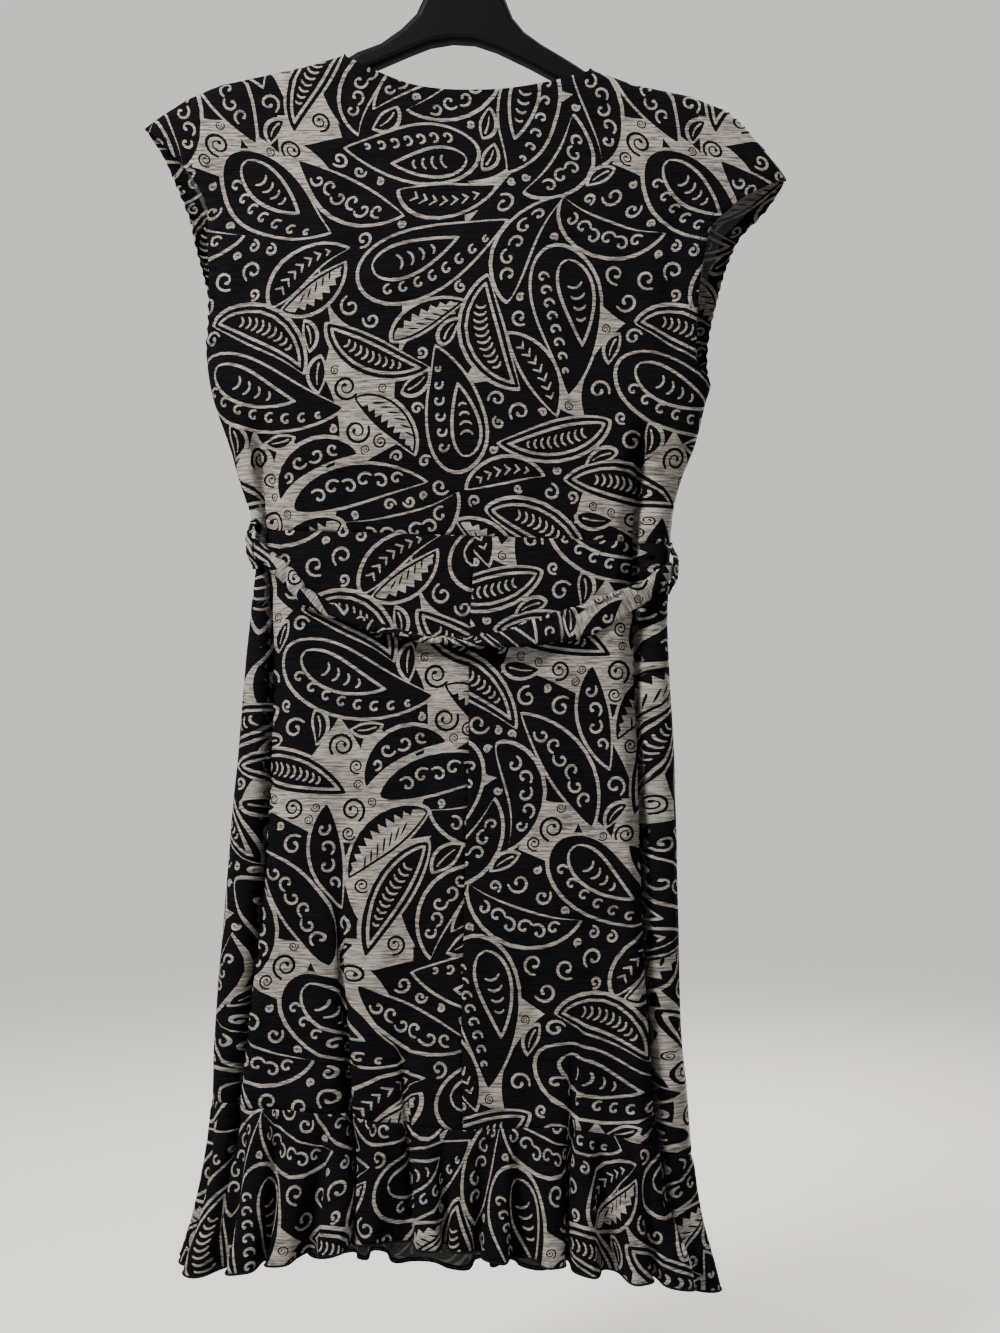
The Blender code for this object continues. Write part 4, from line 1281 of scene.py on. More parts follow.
def flutes(face, share, down):
    """Ruffle: push outwards and push along the hem, which rounds the crests."""
    rows = RUFFLE_BACK if face == BACK else RUFFLE_FRONT
    crests = [-1.0] + [row[0] for row in rows] + [1.0]
    swings = [SIDE_SWING] + [row[1] for row in rows] + [SIDE_SWING]
    hands = np.array(FLUTE_HANDS)[:: -face][: len(rows)]
    hands = np.concatenate([[SIDE_HAND], hands, [SIDE_HAND]])
    depth, opening, drift = (through(crests, hands[:, k], share) for k in range(3))
    turns = 2 * math.pi * np.arange(len(crests))
    phase = through(crests, turns, share)
    slope = (through(crests, turns, share + 0.01) - through(crests, turns, share - 0.01)) / 0.02
    phase = phase + 2 * math.pi * drift * down * (1 - share**4)
    swing = through(crests, swings, share)
    growth = RUFFLE_START + (1 - RUFFLE_START) * down**opening
    lean = FLUTE_LEAN * np.sin(2 * phase) * np.sin(1.7 * phase / math.pi + face)
    # broad rounded crests with narrower valleys between them
    round_share, wall_share, crest_share = FLUTE_SHAPE[face]
    crest = FLUTE_CREST - 2 * ((1 - np.cos(phase)) / 2) ** crest_share
    out = swing * growth * depth * (crest + lean)
    span = girth(face, np.full(np.shape(share), HEM_LEVEL)) / 2
    shift = round_share * np.sin(phase) + wall_share * np.sin(2 * phase)
    along = growth * span / np.maximum(slope, 20) * shift
    gather = GATHER * ease(down / GATHER_IN) * (1 - ease(down / GATHER_OUT))
    out = out + gather * np.cos(3 * phase + 2 * np.sin(5 * share))
    return out, along


def lay(face, angle, z, stand, inward=0.0, out=0.0, along=0.0, groove=0.0):
    """Points of the cloth at a distance `stand` outside its solid's inner surface."""
    points, normal = tube(face, angle, z)
    deep, aside = valleys(face, angle, z)
    move = stand + out + ripple(face, angle, z) - inward - groove - deep
    move = move - fold_depth(face, angle, z) - crease_depth(face, angle, z)
    along = along + aside
    side = np.stack([-normal[:, 1], normal[:, 0], 0 * z], axis=-1) * -face
    points = points + normal * np.broadcast_to(move, np.shape(angle))[:, None]
    return points + side * np.broadcast_to(along, np.shape(angle))[:, None]


# ---------------------------------------------------------------- cut plane


def in_levels(z):
    """Heights kept inside the tube's tables."""
    return np.clip(z, LEVELS[0] + 0.01, LEVELS[-1] - 0.01)


def middle_arc(face, z):
    return arc_at(face, np.zeros(np.shape(z)), z)


def to_cut(face, angle, z):
    return np.stack([arc_at(face, angle, z) - middle_arc(face, z), z], axis=-1)


def from_cut(face, flat):
    z = in_levels(flat[:, 1])
    share = 2 * (flat[:, 0] + middle_arc(face, z)) / girth(face, z) - 1
    share = np.clip(share, -1, 1)
    return angle_at(face, share, z), z, share


def on_x(face, x, z):
    """Cut-plane points of a line given by x and z."""
    return to_cut(face, angle_of(face, x, z), z)


# Depth of the tube at the shoulder's rounding.
SHOULDER_DEPTH = 17.0


def round_run():
    """Cloth length over the shoulder's rounding, from its foot up, at each share of its drop."""
    drop = np.linspace(0, 1, 400)
    out = SHOULDER_DEPTH * (1 - (1 - drop) ** SHOULDER_SQUARE) ** (1 / SHOULDER_SQUARE)
    steps = np.hypot(np.diff(out), SHOULDER_ROUND * np.diff(drop))
    down = np.concatenate([[0], np.cumsum(steps)])
    return drop, down[-1] - down


ROUND_DROP, ROUND_RUN = round_run()


def raised(x, z):
    """Cut-plane height of cloth near a shoulder seam, where it rounds over the arm."""
    foot = shoulder_line(x) - SHOULDER_ROUND
    drop = (shoulder_line(x) - z) / SHOULDER_ROUND
    return np.where(drop < 1, foot + np.interp(drop, ROUND_DROP, ROUND_RUN), z)


def lowered(x, v):
    """The height of cloth from its place on the cut plane, the other way from raised()."""
    foot = shoulder_line(x) - SHOULDER_ROUND
    drop = np.interp(v - foot, ROUND_RUN[::-1], ROUND_DROP[::-1])
    return np.where(v > foot, shoulder_line(x) - SHOULDER_ROUND * drop, v)


def bodice_cut(face, x, z):
    flat = on_x(face, x, z)
    flat[:, 1] = raised(np.asarray(x, float), np.asarray(z, float))
    return flat


def from_bodice_cut(face, flat):
    """Angle, height and share of cut-plane points; the height is found in a few rounds."""
    z = flat[:, 1]
    for _ in range(4):
        z = in_levels(z)
        angle, _, share = from_cut(face, np.stack([flat[:, 0], z], axis=-1))
        z = lowered(form(face, angle, z)[:, 0], flat[:, 1])
    return angle, z, share


def on_share(face, share, z):
    return to_cut(face, angle_at(face, share + 0 * z, z + 0 * share), z + 0 * share)


def top_line(low, high):
    """The top edge's points between two x values."""
    xs = [row[0] for row in TOP_EDGE if low <= row[0] <= high]
    zs = [row[1] for row in TOP_EDGE if low <= row[0] <= high]
    return np.array(xs, float), np.array(zs, float)


def neckline():
    """The back neckline, smooth between the neck points."""
    rows = [row for row in TOP_EDGE if NECK_LEFT <= row[0] <= NECK_RIGHT]
    xs, zs = np.array(rows, float).T
    x = np.linspace(xs[0], xs[-1], 60)
    return x, through(xs, zs, x)


# How finely the outlines' curves are divided.
ARMHOLE_POINTS, SEAM_POINTS, SIDE_POINTS, SHARE_POINTS, WRAP_POINTS = 110, 80, 40, 60, 90
# How far the wrap edges bow out of straight.
WRAP_BOW = 3.0


def armhole_line(rows, face):
    """An armhole's edge from the cap's tip to the underarm."""
    table = np.array(rows, float)
    z = np.linspace(table[0, 0], table[-1, 0], ARMHOLE_POINTS)
    x = through(-table[:, 0], table[:, 1 if face == BACK else 2], -z)
    return x, z


def seam_share_line(name, face, low, high):
    share = np.linspace(low, high, SEAM_POINTS)
    return share, edge_z(name, face, share)


def side_line(face, side, top, bottom):
    z = np.linspace(top, bottom, SIDE_POINTS)
    return on_share(face, np.full(SIDE_POINTS, float(side)), z)


def back_bodice_outline():
    left, right = armhole_line(ARMHOLE_LEFT, BACK), armhole_line(ARMHOLE_RIGHT, BACK)
    seam_left, seam_right = top_line(TIP_LEFT, NECK_LEFT), top_line(NECK_RIGHT, TIP_RIGHT)
    neck = neckline()
    share, waist = seam_share_line("waist", BACK, 1, -1)
    return np.concatenate([
        bodice_cut(BACK, *seam_left)[:-1],
        bodice_cut(BACK, *neck)[:-1],
        bodice_cut(BACK, *seam_right)[:-1],
        bodice_cut(BACK, *right)[:-1],
        side_line(BACK, 1, right[1][-1], waist[0])[:-1],
        on_share(BACK, share, waist)[:-1],
        side_line(BACK, -1, waist[-1], left[1][-1])[:-1],
        bodice_cut(BACK, *left)[::-1][:-1],
    ])


def wrap_curve(over, t):
    """The front's edge from its neck point (t = 0) to the waist (t = 1), bowed a little."""
    (x0, z0), (x1, z1) = wrap_line(over)
    side = 1 if over else -1
    x = x0 + (x1 - x0) * t + WRAP_BOW * np.sin(math.pi * t) * side
    return bodice_cut(FRONT, x, z0 + (z1 - z0) * t)


def front_bodice_outline(over):
    side = 1 if over else -1
    rows = ARMHOLE_RIGHT if over else ARMHOLE_LEFT
    x, z = top_line(NECK_RIGHT, TIP_RIGHT) if over else top_line(TIP_LEFT, NECK_LEFT)
    if not over:
        x, z = x[::-1], z[::-1]
    arm = armhole_line(rows, FRONT)
    share, waist = seam_share_line("waist", FRONT, side, -side * WRAP_SHARE)
    return np.concatenate([
        bodice_cut(FRONT, x, z)[:-1],
        bodice_cut(FRONT, *arm)[:-1],
        side_line(FRONT, side, arm[1][-1], waist[0])[:-1],
        on_share(FRONT, share, waist)[:-1],
        wrap_curve(over, np.linspace(1, 0, WRAP_POINTS))[:-1],
    ])


# Puckers: their height, their pitch along the edge, how far they reach into the piece, and
# the distances from the edge of the extra points that carry them.
PUCKER, PUCKER_PITCH, PUCKER_REACH = 0.75, 8.5, 15.0
PUCKER_ROWS = (2.0, 4.5, 7.5, 11.0, 15.0)


def pucker(face, x, z):
    """Small waves that the stitching draws into the cloth along the armholes."""
    total = np.zeros(np.shape(z))
    for rows in (ARMHOLE_LEFT, ARMHOLE_RIGHT):
        table = np.array(rows, float)
        edge = through(-table[:, 0], table[:, 1 if face == BACK else 2], -z)
        near = 1 - ease(np.abs(x - edge) / PUCKER_REACH)
        beside = ease((z - table[-1, 0] + 6) / 12)
        wave = np.cos(2 * math.pi * z / PUCKER_PITCH + 1.6 * np.sin(z / 17) + 0.08 * x)
        total += PUCKER * near * beside * wave
    return total


def pucker_points(face, sides):
    """Rows of cut-plane points beside the armholes, close enough to carry the puckers."""
    rows = []
    for side, table in sides:
        line = bodice_cut(face, *armhole_line(table, face))
        rows += [line - (side * distance, 0) for distance in PUCKER_ROWS]
    return np.concatenate(rows)


def share_outline(face, low, high, top, bottom):
    """A piece between two shares, from one horizontal edge to another."""
    share, upper = seam_share_line(top, face, low, high)
    _, lower = seam_share_line(bottom, face, low, high)
    left = np.linspace(lower[0], upper[0], SHARE_POINTS)
    right = np.linspace(upper[-1], lower[-1], SHARE_POINTS)
    return np.concatenate([
        on_share(face, share, upper)[:-1],
        on_share(face, np.full(SHARE_POINTS, float(high)), right)[:-1],
        on_share(face, share, lower)[::-1][:-1],
        on_share(face, np.full(SHARE_POINTS, float(low)), left)[:-1],
    ])


# Below this height the bodice's sides are seamed; above it they are armholes.
UNDERARM = -380
# How far below the shoulder seams the creases reach their full depth.
CALM_REACH = 30
# The under front eases inwards over this much of its width, just before the overlap, and
# its ruffle hangs deeper and shorter at the hem.
OVERLAP_START, OVERLAP_EASE = 0.14, 0.10
UNDER_HEM_DEEPER, UNDER_HEM_SHORTER = 2.5, 5.0


def under_layer(share, deep):
    """How far the under front lies inside the over front where they overlap."""
    return deep * ease((share + WRAP_SHARE + OVERLAP_START) / OVERLAP_EASE)


def side_dip(face, z, share):
    return dip((1 - np.abs(share)) * girth(face, z) / 2)


def place_bodice(face, over=True):
    def place(flat, stand):
        angle, z, share = from_bodice_cut(face, flat)
        inward = 0.0
        if face == FRONT and not over:
            x = form(FRONT, angle, z)[:, 0]
            lead = inside_over(x, z) + LAYER_LEAD + LAYER_EASE
            inward = LAYER_STEP * ease(lead / LAYER_EASE)
        groove = side_dip(face, z, share) * (z < UNDERARM) + dip(z - edge_z("waist", face, share))
        x = form(face, angle, z)[:, 0]
        calm = ease((shoulder_line(x) - z) / CALM_REACH)
        points = lay(face, angle, z, stand, inward, pucker(face, x, z), 0.0, groove)
        plain = lay_plain(face, angle, z, stand)
        return plain + (points - plain) * calm[:, None]

    return place


def lay_plain(face, angle, z, stand):
    """The cloth with no creases, used where it rounds over the hanger's arm."""
    points, normal = tube(face, angle, z)
    return points + normal * stand


def place_skirt(face, over=True, seam=None):
    def place(flat, stand):
        angle, z, share = from_cut(face, flat)
        inward = 0.0 if over else under_layer(share, LAYER_STEP)
        groove = side_dip(face, z, share)
        groove = groove + dip(z - edge_z("waist", face, share))
        groove = groove + dip(z - edge_z("ruffle_seam", face, share))
        if seam is not None:
            groove = groove + dip((share - seam) * girth(face, z) / 2)
        return lay(face, angle, z, stand, inward, 0.0, 0.0, groove)

    return place


# Where the flutes lengthen the hem, the cut is longer than the tube is round. The length is
# measured this far down the ruffle.
FLUTE_SHARES = np.linspace(-1, 1, 3001)
FLUTE_MEASURE = 0.65
# The hem's rise and fall: with the flutes, and two slower drifts.
HEM_WAVE, HEM_DRIFT, HEM_STEP = 0.6, 2.4, 1.8
HEM_POINTS = 420
# The flutes grow from nothing over this much of the ruffle's top.
SETTLE = 14


def flute_lengths(face):
    share = FLUTE_SHARES
    above = edge_z("ruffle_seam", face, share) * (1 - FLUTE_MEASURE)
    z = above + edge_z("hem", face, share) * FLUTE_MEASURE
    angle = angle_at(face, share, z)
    out, along = flutes(face, share, np.full(len(share), FLUTE_MEASURE))
    points = lay(face, angle, z, 0.0, 0.0, out, along)
    length = run_along(points[:, :2])
    return length - np.interp(0, share, length)


def hem_z(face, share, over=True):
    """The hem's height: the cut edge rises and falls a little from flute to flute."""
    out, _ = flutes(face, share, np.ones(np.shape(share)))
    drop = HEM_WAVE * out / 9 + HEM_DRIFT * np.sin(7.3 * share + 1.1 * face)
    drop = drop + HEM_STEP * np.sin(17.3 * share + 2.1 * face)
    return edge_z("hem", face, share) - drop + (0 if over else UNDER_HEM_SHORTER)


def ruffle_outline(face, low, high, lengths, over=True):
    share = np.linspace(low, high, HEM_POINTS)
    u = np.interp(share, FLUTE_SHARES, lengths)
    upper = np.stack([u, edge_z("ruffle_seam", face, share)], axis=-1)
    lower = np.stack([u, hem_z(face, share, over)], axis=-1)
    return np.concatenate([upper, lower[::-1]])


def place_ruffle(face, lengths, over=True):
    def place(flat, stand):
        share = np.interp(flat[:, 0], lengths, FLUTE_SHARES)
        z = in_levels(flat[:, 1])
        top = edge_z("ruffle_seam", face, share)
        down = np.clip((top - z) / (top - edge_z("hem", face, share)), 0, 1.05)
        angle = angle_at(face, share, z)
        inward = 0.0
        if not over:
            inward = under_layer(share, LAYER_STEP + UNDER_HEM_DEEPER * down)
        out, along = flutes(face, share, down)
        settle = ease((top - z) / SETTLE)
        groove = dip(z - top) + side_dip(face, z, share)
        return lay(face, angle, z, stand, inward, out * settle, along * settle, groove)

    return place


FLUTE_LENGTHS = {face: flute_lengths(face) for face in (BACK, FRONT)}
# Spacing of the grid points on the panels and on the ruffles.
BODY_STEP, FLUTE_STEP = 5.5, 4.2
# How much of an armhole's edge is turned in.
TURNED_IN = 13.0


def near_line(line):
    """Tells which cut-plane points lie within a turned-in edge's depth of a line."""

    def test(points):
        nearest = np.full(len(points), 1e9)
        for a, b in zip(line, line[1:]):
            way = b - a
            t = np.clip(((points - a) @ way) / (way @ way), 0, 1)
            nearest = np.minimum(nearest, np.linalg.norm(points - a - t[:, None] * way, axis=1))
        return nearest < TURNED_IN

    return test


SKIRTS = (
    # name, face, first and last share, over, seam, shift of the print, what it hangs from
    ("skirt_back_left", BACK, -1, CENTRE_BACK, True, CENTRE_BACK, (95, 140), "back_bodice"),
    ("skirt_back_right", BACK, CENTRE_BACK, 1, True, CENTRE_BACK, (-35, 250), "back_bodice"),
    ("skirt_front_over", FRONT, -WRAP_SHARE, 1, True, None, (60, 20), "front_bodice_over"),
    ("skirt_front_under", FRONT, -1, WRAP_SHARE, False, None, (10, 90), "front_bodice_under"),
)
RUFFLES = (
    # name, face, first and last share, over, shift of the print, what it hangs from
    ("ruffle_back", BACK, -1, 1, True, (15, 70), "skirt_back_left"),
    ("ruffle_front_over", FRONT, -WRAP_SHARE, 1, True, (120, 200), "skirt_front_over"),
    ("ruffle_front_under", FRONT, -1, WRAP_SHARE, False, (40, 330), "skirt_front_under"),
)


def panel(name, outline, place, shift, spacing, rests_on, **more):
    """A printed panel in place of the solid of its name."""
    printed_sheet(
        name + "_cloth", outline, place, shift, spacing, [name], "hung", [rests_on],
        "printed_jersey", **more,
    )


def make_panels():
    panel(
        "back_bodice", back_bodice_outline(), place_bodice(BACK), (20, -60), BODY_STEP,
        "hanger_body", extra=pucker_points(BACK, ((-1, ARMHOLE_LEFT), (1, ARMHOLE_RIGHT))),
    )
    for name, over, side, armhole, shift in (
        ("front_bodice_over", True, 1, ARMHOLE_RIGHT, (270, 50)),
        ("front_bodice_under", False, -1, ARMHOLE_LEFT, (125, 15)),
    ):
        panel(
            name, front_bodice_outline(over), place_bodice(FRONT, over), shift, BODY_STEP,
            "hanger_body", turned_in=near_line(bodice_cut(FRONT, *armhole_line(armhole, FRONT))),
            extra=pucker_points(FRONT, ((side, armhole),)),
        )
    for name, face, first, last, over, seam, shift, above in SKIRTS:
        panel(
            name, share_outline(face, first, last, "waist", "ruffle_seam"),
            place_skirt(face, over, seam), shift, BODY_STEP, above + "_cloth",
        )
    for name, face, first, last, over, shift, above in RUFFLES:
        lengths = FLUTE_LENGTHS[face]
        panel(
            name, ruffle_outline(face, first, last, lengths, over),
            place_ruffle(face, lengths, over), shift, FLUTE_STEP, above + "_cloth",
        )


# ---------------------------------------------------------------- belt, knot, tails and loops

BELT_RUN = (
    # face, share, z, height, depth, turn in degrees
    (FRONT, 0.155, -571, 15, 6.5, 0),
    (FRONT, 0.34, -576, 18, 5, -8),
    (FRONT, 0.52, -577, 21, 4, 6),
    (FRONT, 0.70, -572, 19, 4, 0),
    (FRONT, 0.86, -566, 16, 4, 0),
    (FRONT, 0.94, -563, 15, 4, 0),
    (BACK, 1.00, -561, 14, 4, 0),
    (BACK, 0.95, -562, 14, 4, 0),
    (BACK, 0.89, -569, 14, 5, 0),
    (BACK, 0.82, -580, 17, 5, -6),
    (BACK, 0.70, -592, 22, 4.5, -10),
    (BACK, 0.56, -604, 26, 4, -4),
    (BACK, 0.38, -612, 24, 4, 14),
    (BACK, 0.21, -619, 19, 4.5, 48),
    (BACK, 0.03, -621, 15, 5, 72),
    (BACK, -0.27, -614, 14, 5, 74),
    (BACK, -0.47, -602, 13, 6.5, 50),
    (BACK, -0.58, -594, 13, 9, 20),
    (BACK, -0.67, -585, 14, 9.5, 0),
    (BACK, -0.79, -563, 14, 9, 0),
    (BACK, -0.89, -549, 14, 6.5, 0),
    (BACK, -0.95, -543, 13, 4.2, 0),
    (BACK, -1.00, -543, 13, 4, 0),
    (FRONT, -0.94, -545, 13, 4, 0),
    (FRONT, -0.86, -550, 14, 5, 0),
    (FRONT, -0.66, -562, 19, 4, 8),
    (FRONT, -0.40, -571, 21, 4, -6),
    (FRONT, -0.15, -573, 17, 5, 0),
    (FRONT, 0.035, -572, 15, 6.5, 0),
)
# How far the belt lies off the cloth under it.
BELT_OFF = 1.3
BELT_STATIONS = 320
# The rolled belt's twist: pitch and depth of its groove, and the groove's width in pitches.
ROLL_PITCH, ROLL_GROOVE, ROLL_WIDTH = 23.0, 2.3, 0.11
# Where the belt is rolled, creased lengthwise and folded flat on the back: the share where
# each begins, over how much it comes in, where it ends and over how much it goes out.
ROLLED = (-1.02, 0.06, -0.40, 0.16)
CREASED = (-0.62, 0.2, 0.24, 0.2)
FOLDED = (0.20, 0.2, 0.93, 0.1)
# The knot: its share on the front, its height and how far its middle stands off the wall;
# the half height and half depth of the turn round it; the turn's width and thickness.
KNOT_SHARE, KNOT_Z, KNOT_MIDDLE = 0.095, -572, 11.2
KNOT_LOOP = (12.2, 5.6)
KNOT_BAND = (19.0, 4.6)
TAILS = {
    # name: rows of x, z, how far it stands off the skirt, width, turn in degrees
    "belt_tail_long": (
        (14, -586, 9.5, 13, 0),
        (20, -640, 8, 22, 12),
        (27, -710, 6, 27, -8),
        (34, -790, 7, 28, 10),
        (38, -860, 9, 28, -6),
        (40, -925, 9, 28, 8),
    ),
    "belt_tail_short": (
        (2.5, -583.5, 9.5, 12, 0),
        (-10, -640, 9, 21, -14),
        (-20, -700, 7, 26, 8),
        (-28, -770, 7, 27, -10),
        (-32, -835, 9, 27, 4),
    ),
}
TAIL_DEPTH = 2.3
LOOPS = {
    # name: share on the back, top z, bottom z
    "belt_loop_left": (-0.93, -522, -562),
    "belt_loop_right": (0.94, -540, -582),
}
# Belt loops: width and thickness, how far they lie off the cloth at their ends and arch out
# more in the middle, and the share of their length in which they do so.
LOOP_SIZE = (9.0, 1.5)
LOOP_CLEAR, LOOP_OUT, LOOP_REACH = 0.9, 6.6, 0.36
# Length of the point that the belt's ends are cut to.
END_POINT = 7.0


def unit(rows):
    return rows / np.linalg.norm(rows, axis=-1, keepdims=True)


def ring_point(u, height, depth):
    """A rounded bar's section: up and out places and their normal, u along its edge."""
    r = np.minimum(height, depth) / 2
    up_half, out_half = height / 2 - r, depth / 2 - r
    side = np.where(u < 0, -1.0, 1.0)
    u = np.abs(u)
    ends = np.cumsum([up_half, r * math.pi / 2, 2 * out_half, r * math.pi / 2], axis=0)
    part = (u[None] > ends).sum(axis=0)
    a = np.clip((u - ends[0]) / r, 0, math.pi / 2)
    b = np.clip((u - ends[2]) / r, 0, math.pi / 2)
    zero, one = np.zeros(len(u)), np.ones(len(u))
    flat = out_half + r
    up = np.choose(part, [
        u, up_half + r * np.sin(a), up_half + r, up_half + r * np.cos(b), up_half - (u - ends[3]),
    ])
    out = np.choose(part, [
        flat, out_half + r * np.cos(a), out_half - (u - ends[1]), -out_half - r * np.sin(b), -flat,
    ])
    up_way = np.choose(part, [zero, np.sin(a), one, np.cos(b), zero])
    out_way = np.choose(part, [one, np.cos(a), zero, -np.sin(b), -one])
    return up * side, out, up_way * side, out_way


def half_round(height, depth):
    """Half the way round the section."""
    r = np.minimum(height, depth) / 2
    return 2 * (height / 2 - r) + 2 * (depth / 2 - r) + math.pi * r


class Band:
    """A strip of cloth, folded or rolled to a rounded section, along a line."""

    def __init__(self, line, outward, height, depth, turn, relief=None):
        self.run = run_along(line)
        self.line, self.relief = line, relief
        along = unit(np.gradient(line, axis=0))
        upright = unit(np.cross(outward, along))
        outward = np.cross(along, upright)
        c, s = np.cos(np.radians(turn))[:, None], np.sin(np.radians(turn))[:, None]
        self.up, self.out = upright * c + outward * s, outward * c - upright * s
        self.height, self.depth = height, depth

    def at(self, rows, v):
        if rows.ndim == 1:
            return np.interp(v, self.run, rows)
        return read_columns(v, self.run, rows)

    def outline(self, point=0.0):
        """The strip's cut: across is u, along is v, with both ends cut to a slant."""
        v = np.linspace(0, self.run[-1], 4 * len(self.run))
        half = half_round(self.at(self.height, v), self.at(self.depth, v)) - 0.25
        right, left = np.stack([half, v], axis=-1), np.stack([-half, v], axis=-1)[::-1]
        if point:
            across = np.linspace(-1, 1, 17)[1:-1]
            near = np.abs(2 * np.abs(across) - 1)
            tip = np.stack([half[-1] * -across, self.run[-1] - point * near], axis=-1)
            right, left = right[v < self.run[-1] - point], left[left[:, 1] < self.run[-1] - point]
            return np.concatenate([right, tip, left])
        return np.concatenate([right, left])

    def place(self, flat, stand):
        u, v = flat[:, 0], flat[:, 1]
        height, depth = self.at(self.height, v), self.at(self.depth, v)
        up, out, up_way, out_way = ring_point(u, height, depth)
        if self.relief is not None:
            stand = stand + self.relief(u, v)
        up, out = (up + up_way * stand)[:, None], (out + out_way * stand)[:, None]
        upwards, outwards = self.at(unit(self.up), v), self.at(unit(self.out), v)
        return self.at(self.line, v) + upwards * up + outwards * out


def make_band(name, band, shift, replaced, held, rests, slot, thick=0.7, point=0.0, spacing=3.0):
    return printed_sheet(
        name, band.outline(point), band.place, shift, spacing, replaced, held, rests, slot,
        stand=0.0, thick=thick,
    )


def belt_band():
    points, normals, sizes = [], [], []
    for face, share, z, height, depth, turn in BELT_RUN:
        level = np.array([float(z)])
        angle = angle_at(face, np.array([float(share)]), level)
        point, normal = tube(face, angle, level)
        normal = normal[0] * (1, 1, 0)
        normal /= np.linalg.norm(normal)
        a = math.radians(turn)
        reach = math.hypot(height / 2 * math.sin(a), depth / 2 * math.cos(a))
        points.append(point[0] + normal * (STAND + BELT_OFF + reach))
        normals.append(normal)
        sizes.append((height, depth, turn))
    points, normals, sizes = np.array(points), np.array(normals), np.array(sizes, float)
    run = run_along(points)
    at = np.linspace(0, run[-1], BELT_STATIONS)
    line = np.stack([through(run, points[:, k], at) for k in range(3)], axis=-1)
    facing = unit(read_columns(at, run, normals))
    height, depth, turn = (through(run, sizes[:, k], at) for k in range(3))
    shares = np.array([row[1] if row[0] == BACK else 2.0 * np.sign(row[1]) for row in BELT_RUN])
    share = np.interp(at, run, shares)

    def relief(u, v):
        place = np.interp(v, at, share)
        roll, middle, flat_part = (between(place, *part) for part in (ROLLED, CREASED, FOLDED))
        way = np.abs((u / 40 + v / ROLL_PITCH) % 1 - 0.5)
        groove = -ROLL_GROOVE * roll * np.exp(-((way / ROLL_WIDTH) ** 2))
        lengthwise = -1.1 * middle * np.exp(-(((u - 1.5 * np.sin(v / 9)) / 1.3) ** 2))
        fold = -1.5 * flat_part * np.exp(-(((u + 5.5 + 2 * np.sin(v / 30)) / 1.6) ** 2))
        soft = 0.35 * np.sin(v / 6.5 + u / 4) + 0.25 * np.sin(v / 3.1 - u / 7 + 1)
        return groove + lengthwise + fold + soft

    return Band(line, facing, height, depth, turn, relief)


def skirt_point(x, z, stand):
    angle = angle_of(FRONT, x, z)
    y = form(FRONT, angle, z)[..., 1] + WALL + stand
    return np.stack([x, y, z], axis=-1)


def tail_band(rows):
    table = np.array(rows, float)
    run = -table[:, 1]
    at = np.linspace(run[0], run[-1], 90)
    x = through(run, table[:, 0], at)
    stand, width, turn = (through(run, table[:, k], at) for k in (2, 3, 4))
    sway = 1.2 * np.sin(at / 21) * ease((at - run[0]) / 60)
    line = skirt_point(x, -at, stand + sway)
    outward = np.tile([0.0, 1.0, 0.0], (len(at), 1))
    depth = TAIL_DEPTH + 2.4 * (1 - ease((at - run[0]) / 45))

    def relief(u, v):
        top = 1 - ease(v / 110)
        pleats = 0.9 * top * np.cos(2 * math.pi * u / 7.5)
        return pleats + 0.25 * np.sin(v / 12 + u / 6) * ease(v / 40)

    return Band(line, outward, width, depth, turn, relief)


def knot_point():
    level = np.array([float(KNOT_Z)])
    base = form(FRONT, angle_at(FRONT, np.array([KNOT_SHARE]), level), level)[0]
    return base + (0, WALL + KNOT_MIDDLE, 0)


def knot_band():
    """One turn of the belt round itself: over the front, under and up behind."""
    middle = knot_point()
    turn = np.linspace(math.radians(100), math.radians(100 + 350), 70)
    tall, deep = KNOT_LOOP
    away = np.stack([0.10 * tall * np.sin(turn), deep * np.cos(turn), tall * np.sin(turn)], axis=-1)
    outward = unit(np.stack([0 * turn, np.cos(turn) / deep, np.sin(turn) / tall], axis=-1))
    height = KNOT_BAND[0] * (1 - 0.14 * np.abs(np.sin(turn)))

    def relief(u, v):
        return 0.7 * np.cos(2 * math.pi * u / 6.3 + 0.8 * np.sin(v / 7)) + 0.3 * np.sin(v / 4 + u)

    return Band(middle + away, outward, height, np.full(len(turn), KNOT_BAND[1]), 0 * turn, relief)


def knot_core():
    """The belt's two ends where they pass through the knot."""
    middle = knot_point()
    t = np.linspace(-1, 1, 40)
    line = middle + np.stack([t * 19.0, -0.6 + 0 * t, 1.0 + 0.8 * np.sin(2 * t)], axis=-1)
    outward = np.tile([0.0, 1.0, 0.0], (len(t), 1))
    height, depth = 15 - 3.5 * np.cos(t * math.pi / 2), 6.5 - 0.5 * t * t

    def relief(u, v):
        return 0.5 * np.cos(2 * math.pi * u / 5.2)

    return Band(line, outward, height, depth, 0 * t, relief)


def loop_band(share, top, bottom):
    t = np.linspace(0, 1, 40)
    z = top + (bottom - top) * t
    angle = angle_at(BACK, np.full(len(t), share), z)
    points, normal = tube(BACK, angle, z)
    away = LOOP_OUT * ease(t / LOOP_REACH) * ease((1 - t) / LOOP_REACH)
    line = points + normal * (STAND + LOOP_CLEAR + away)[:, None]
    size = np.ones(len(t))
    return Band(line, normal, LOOP_SIZE[0] * size, LOOP_SIZE[1] * size, 0 * t)


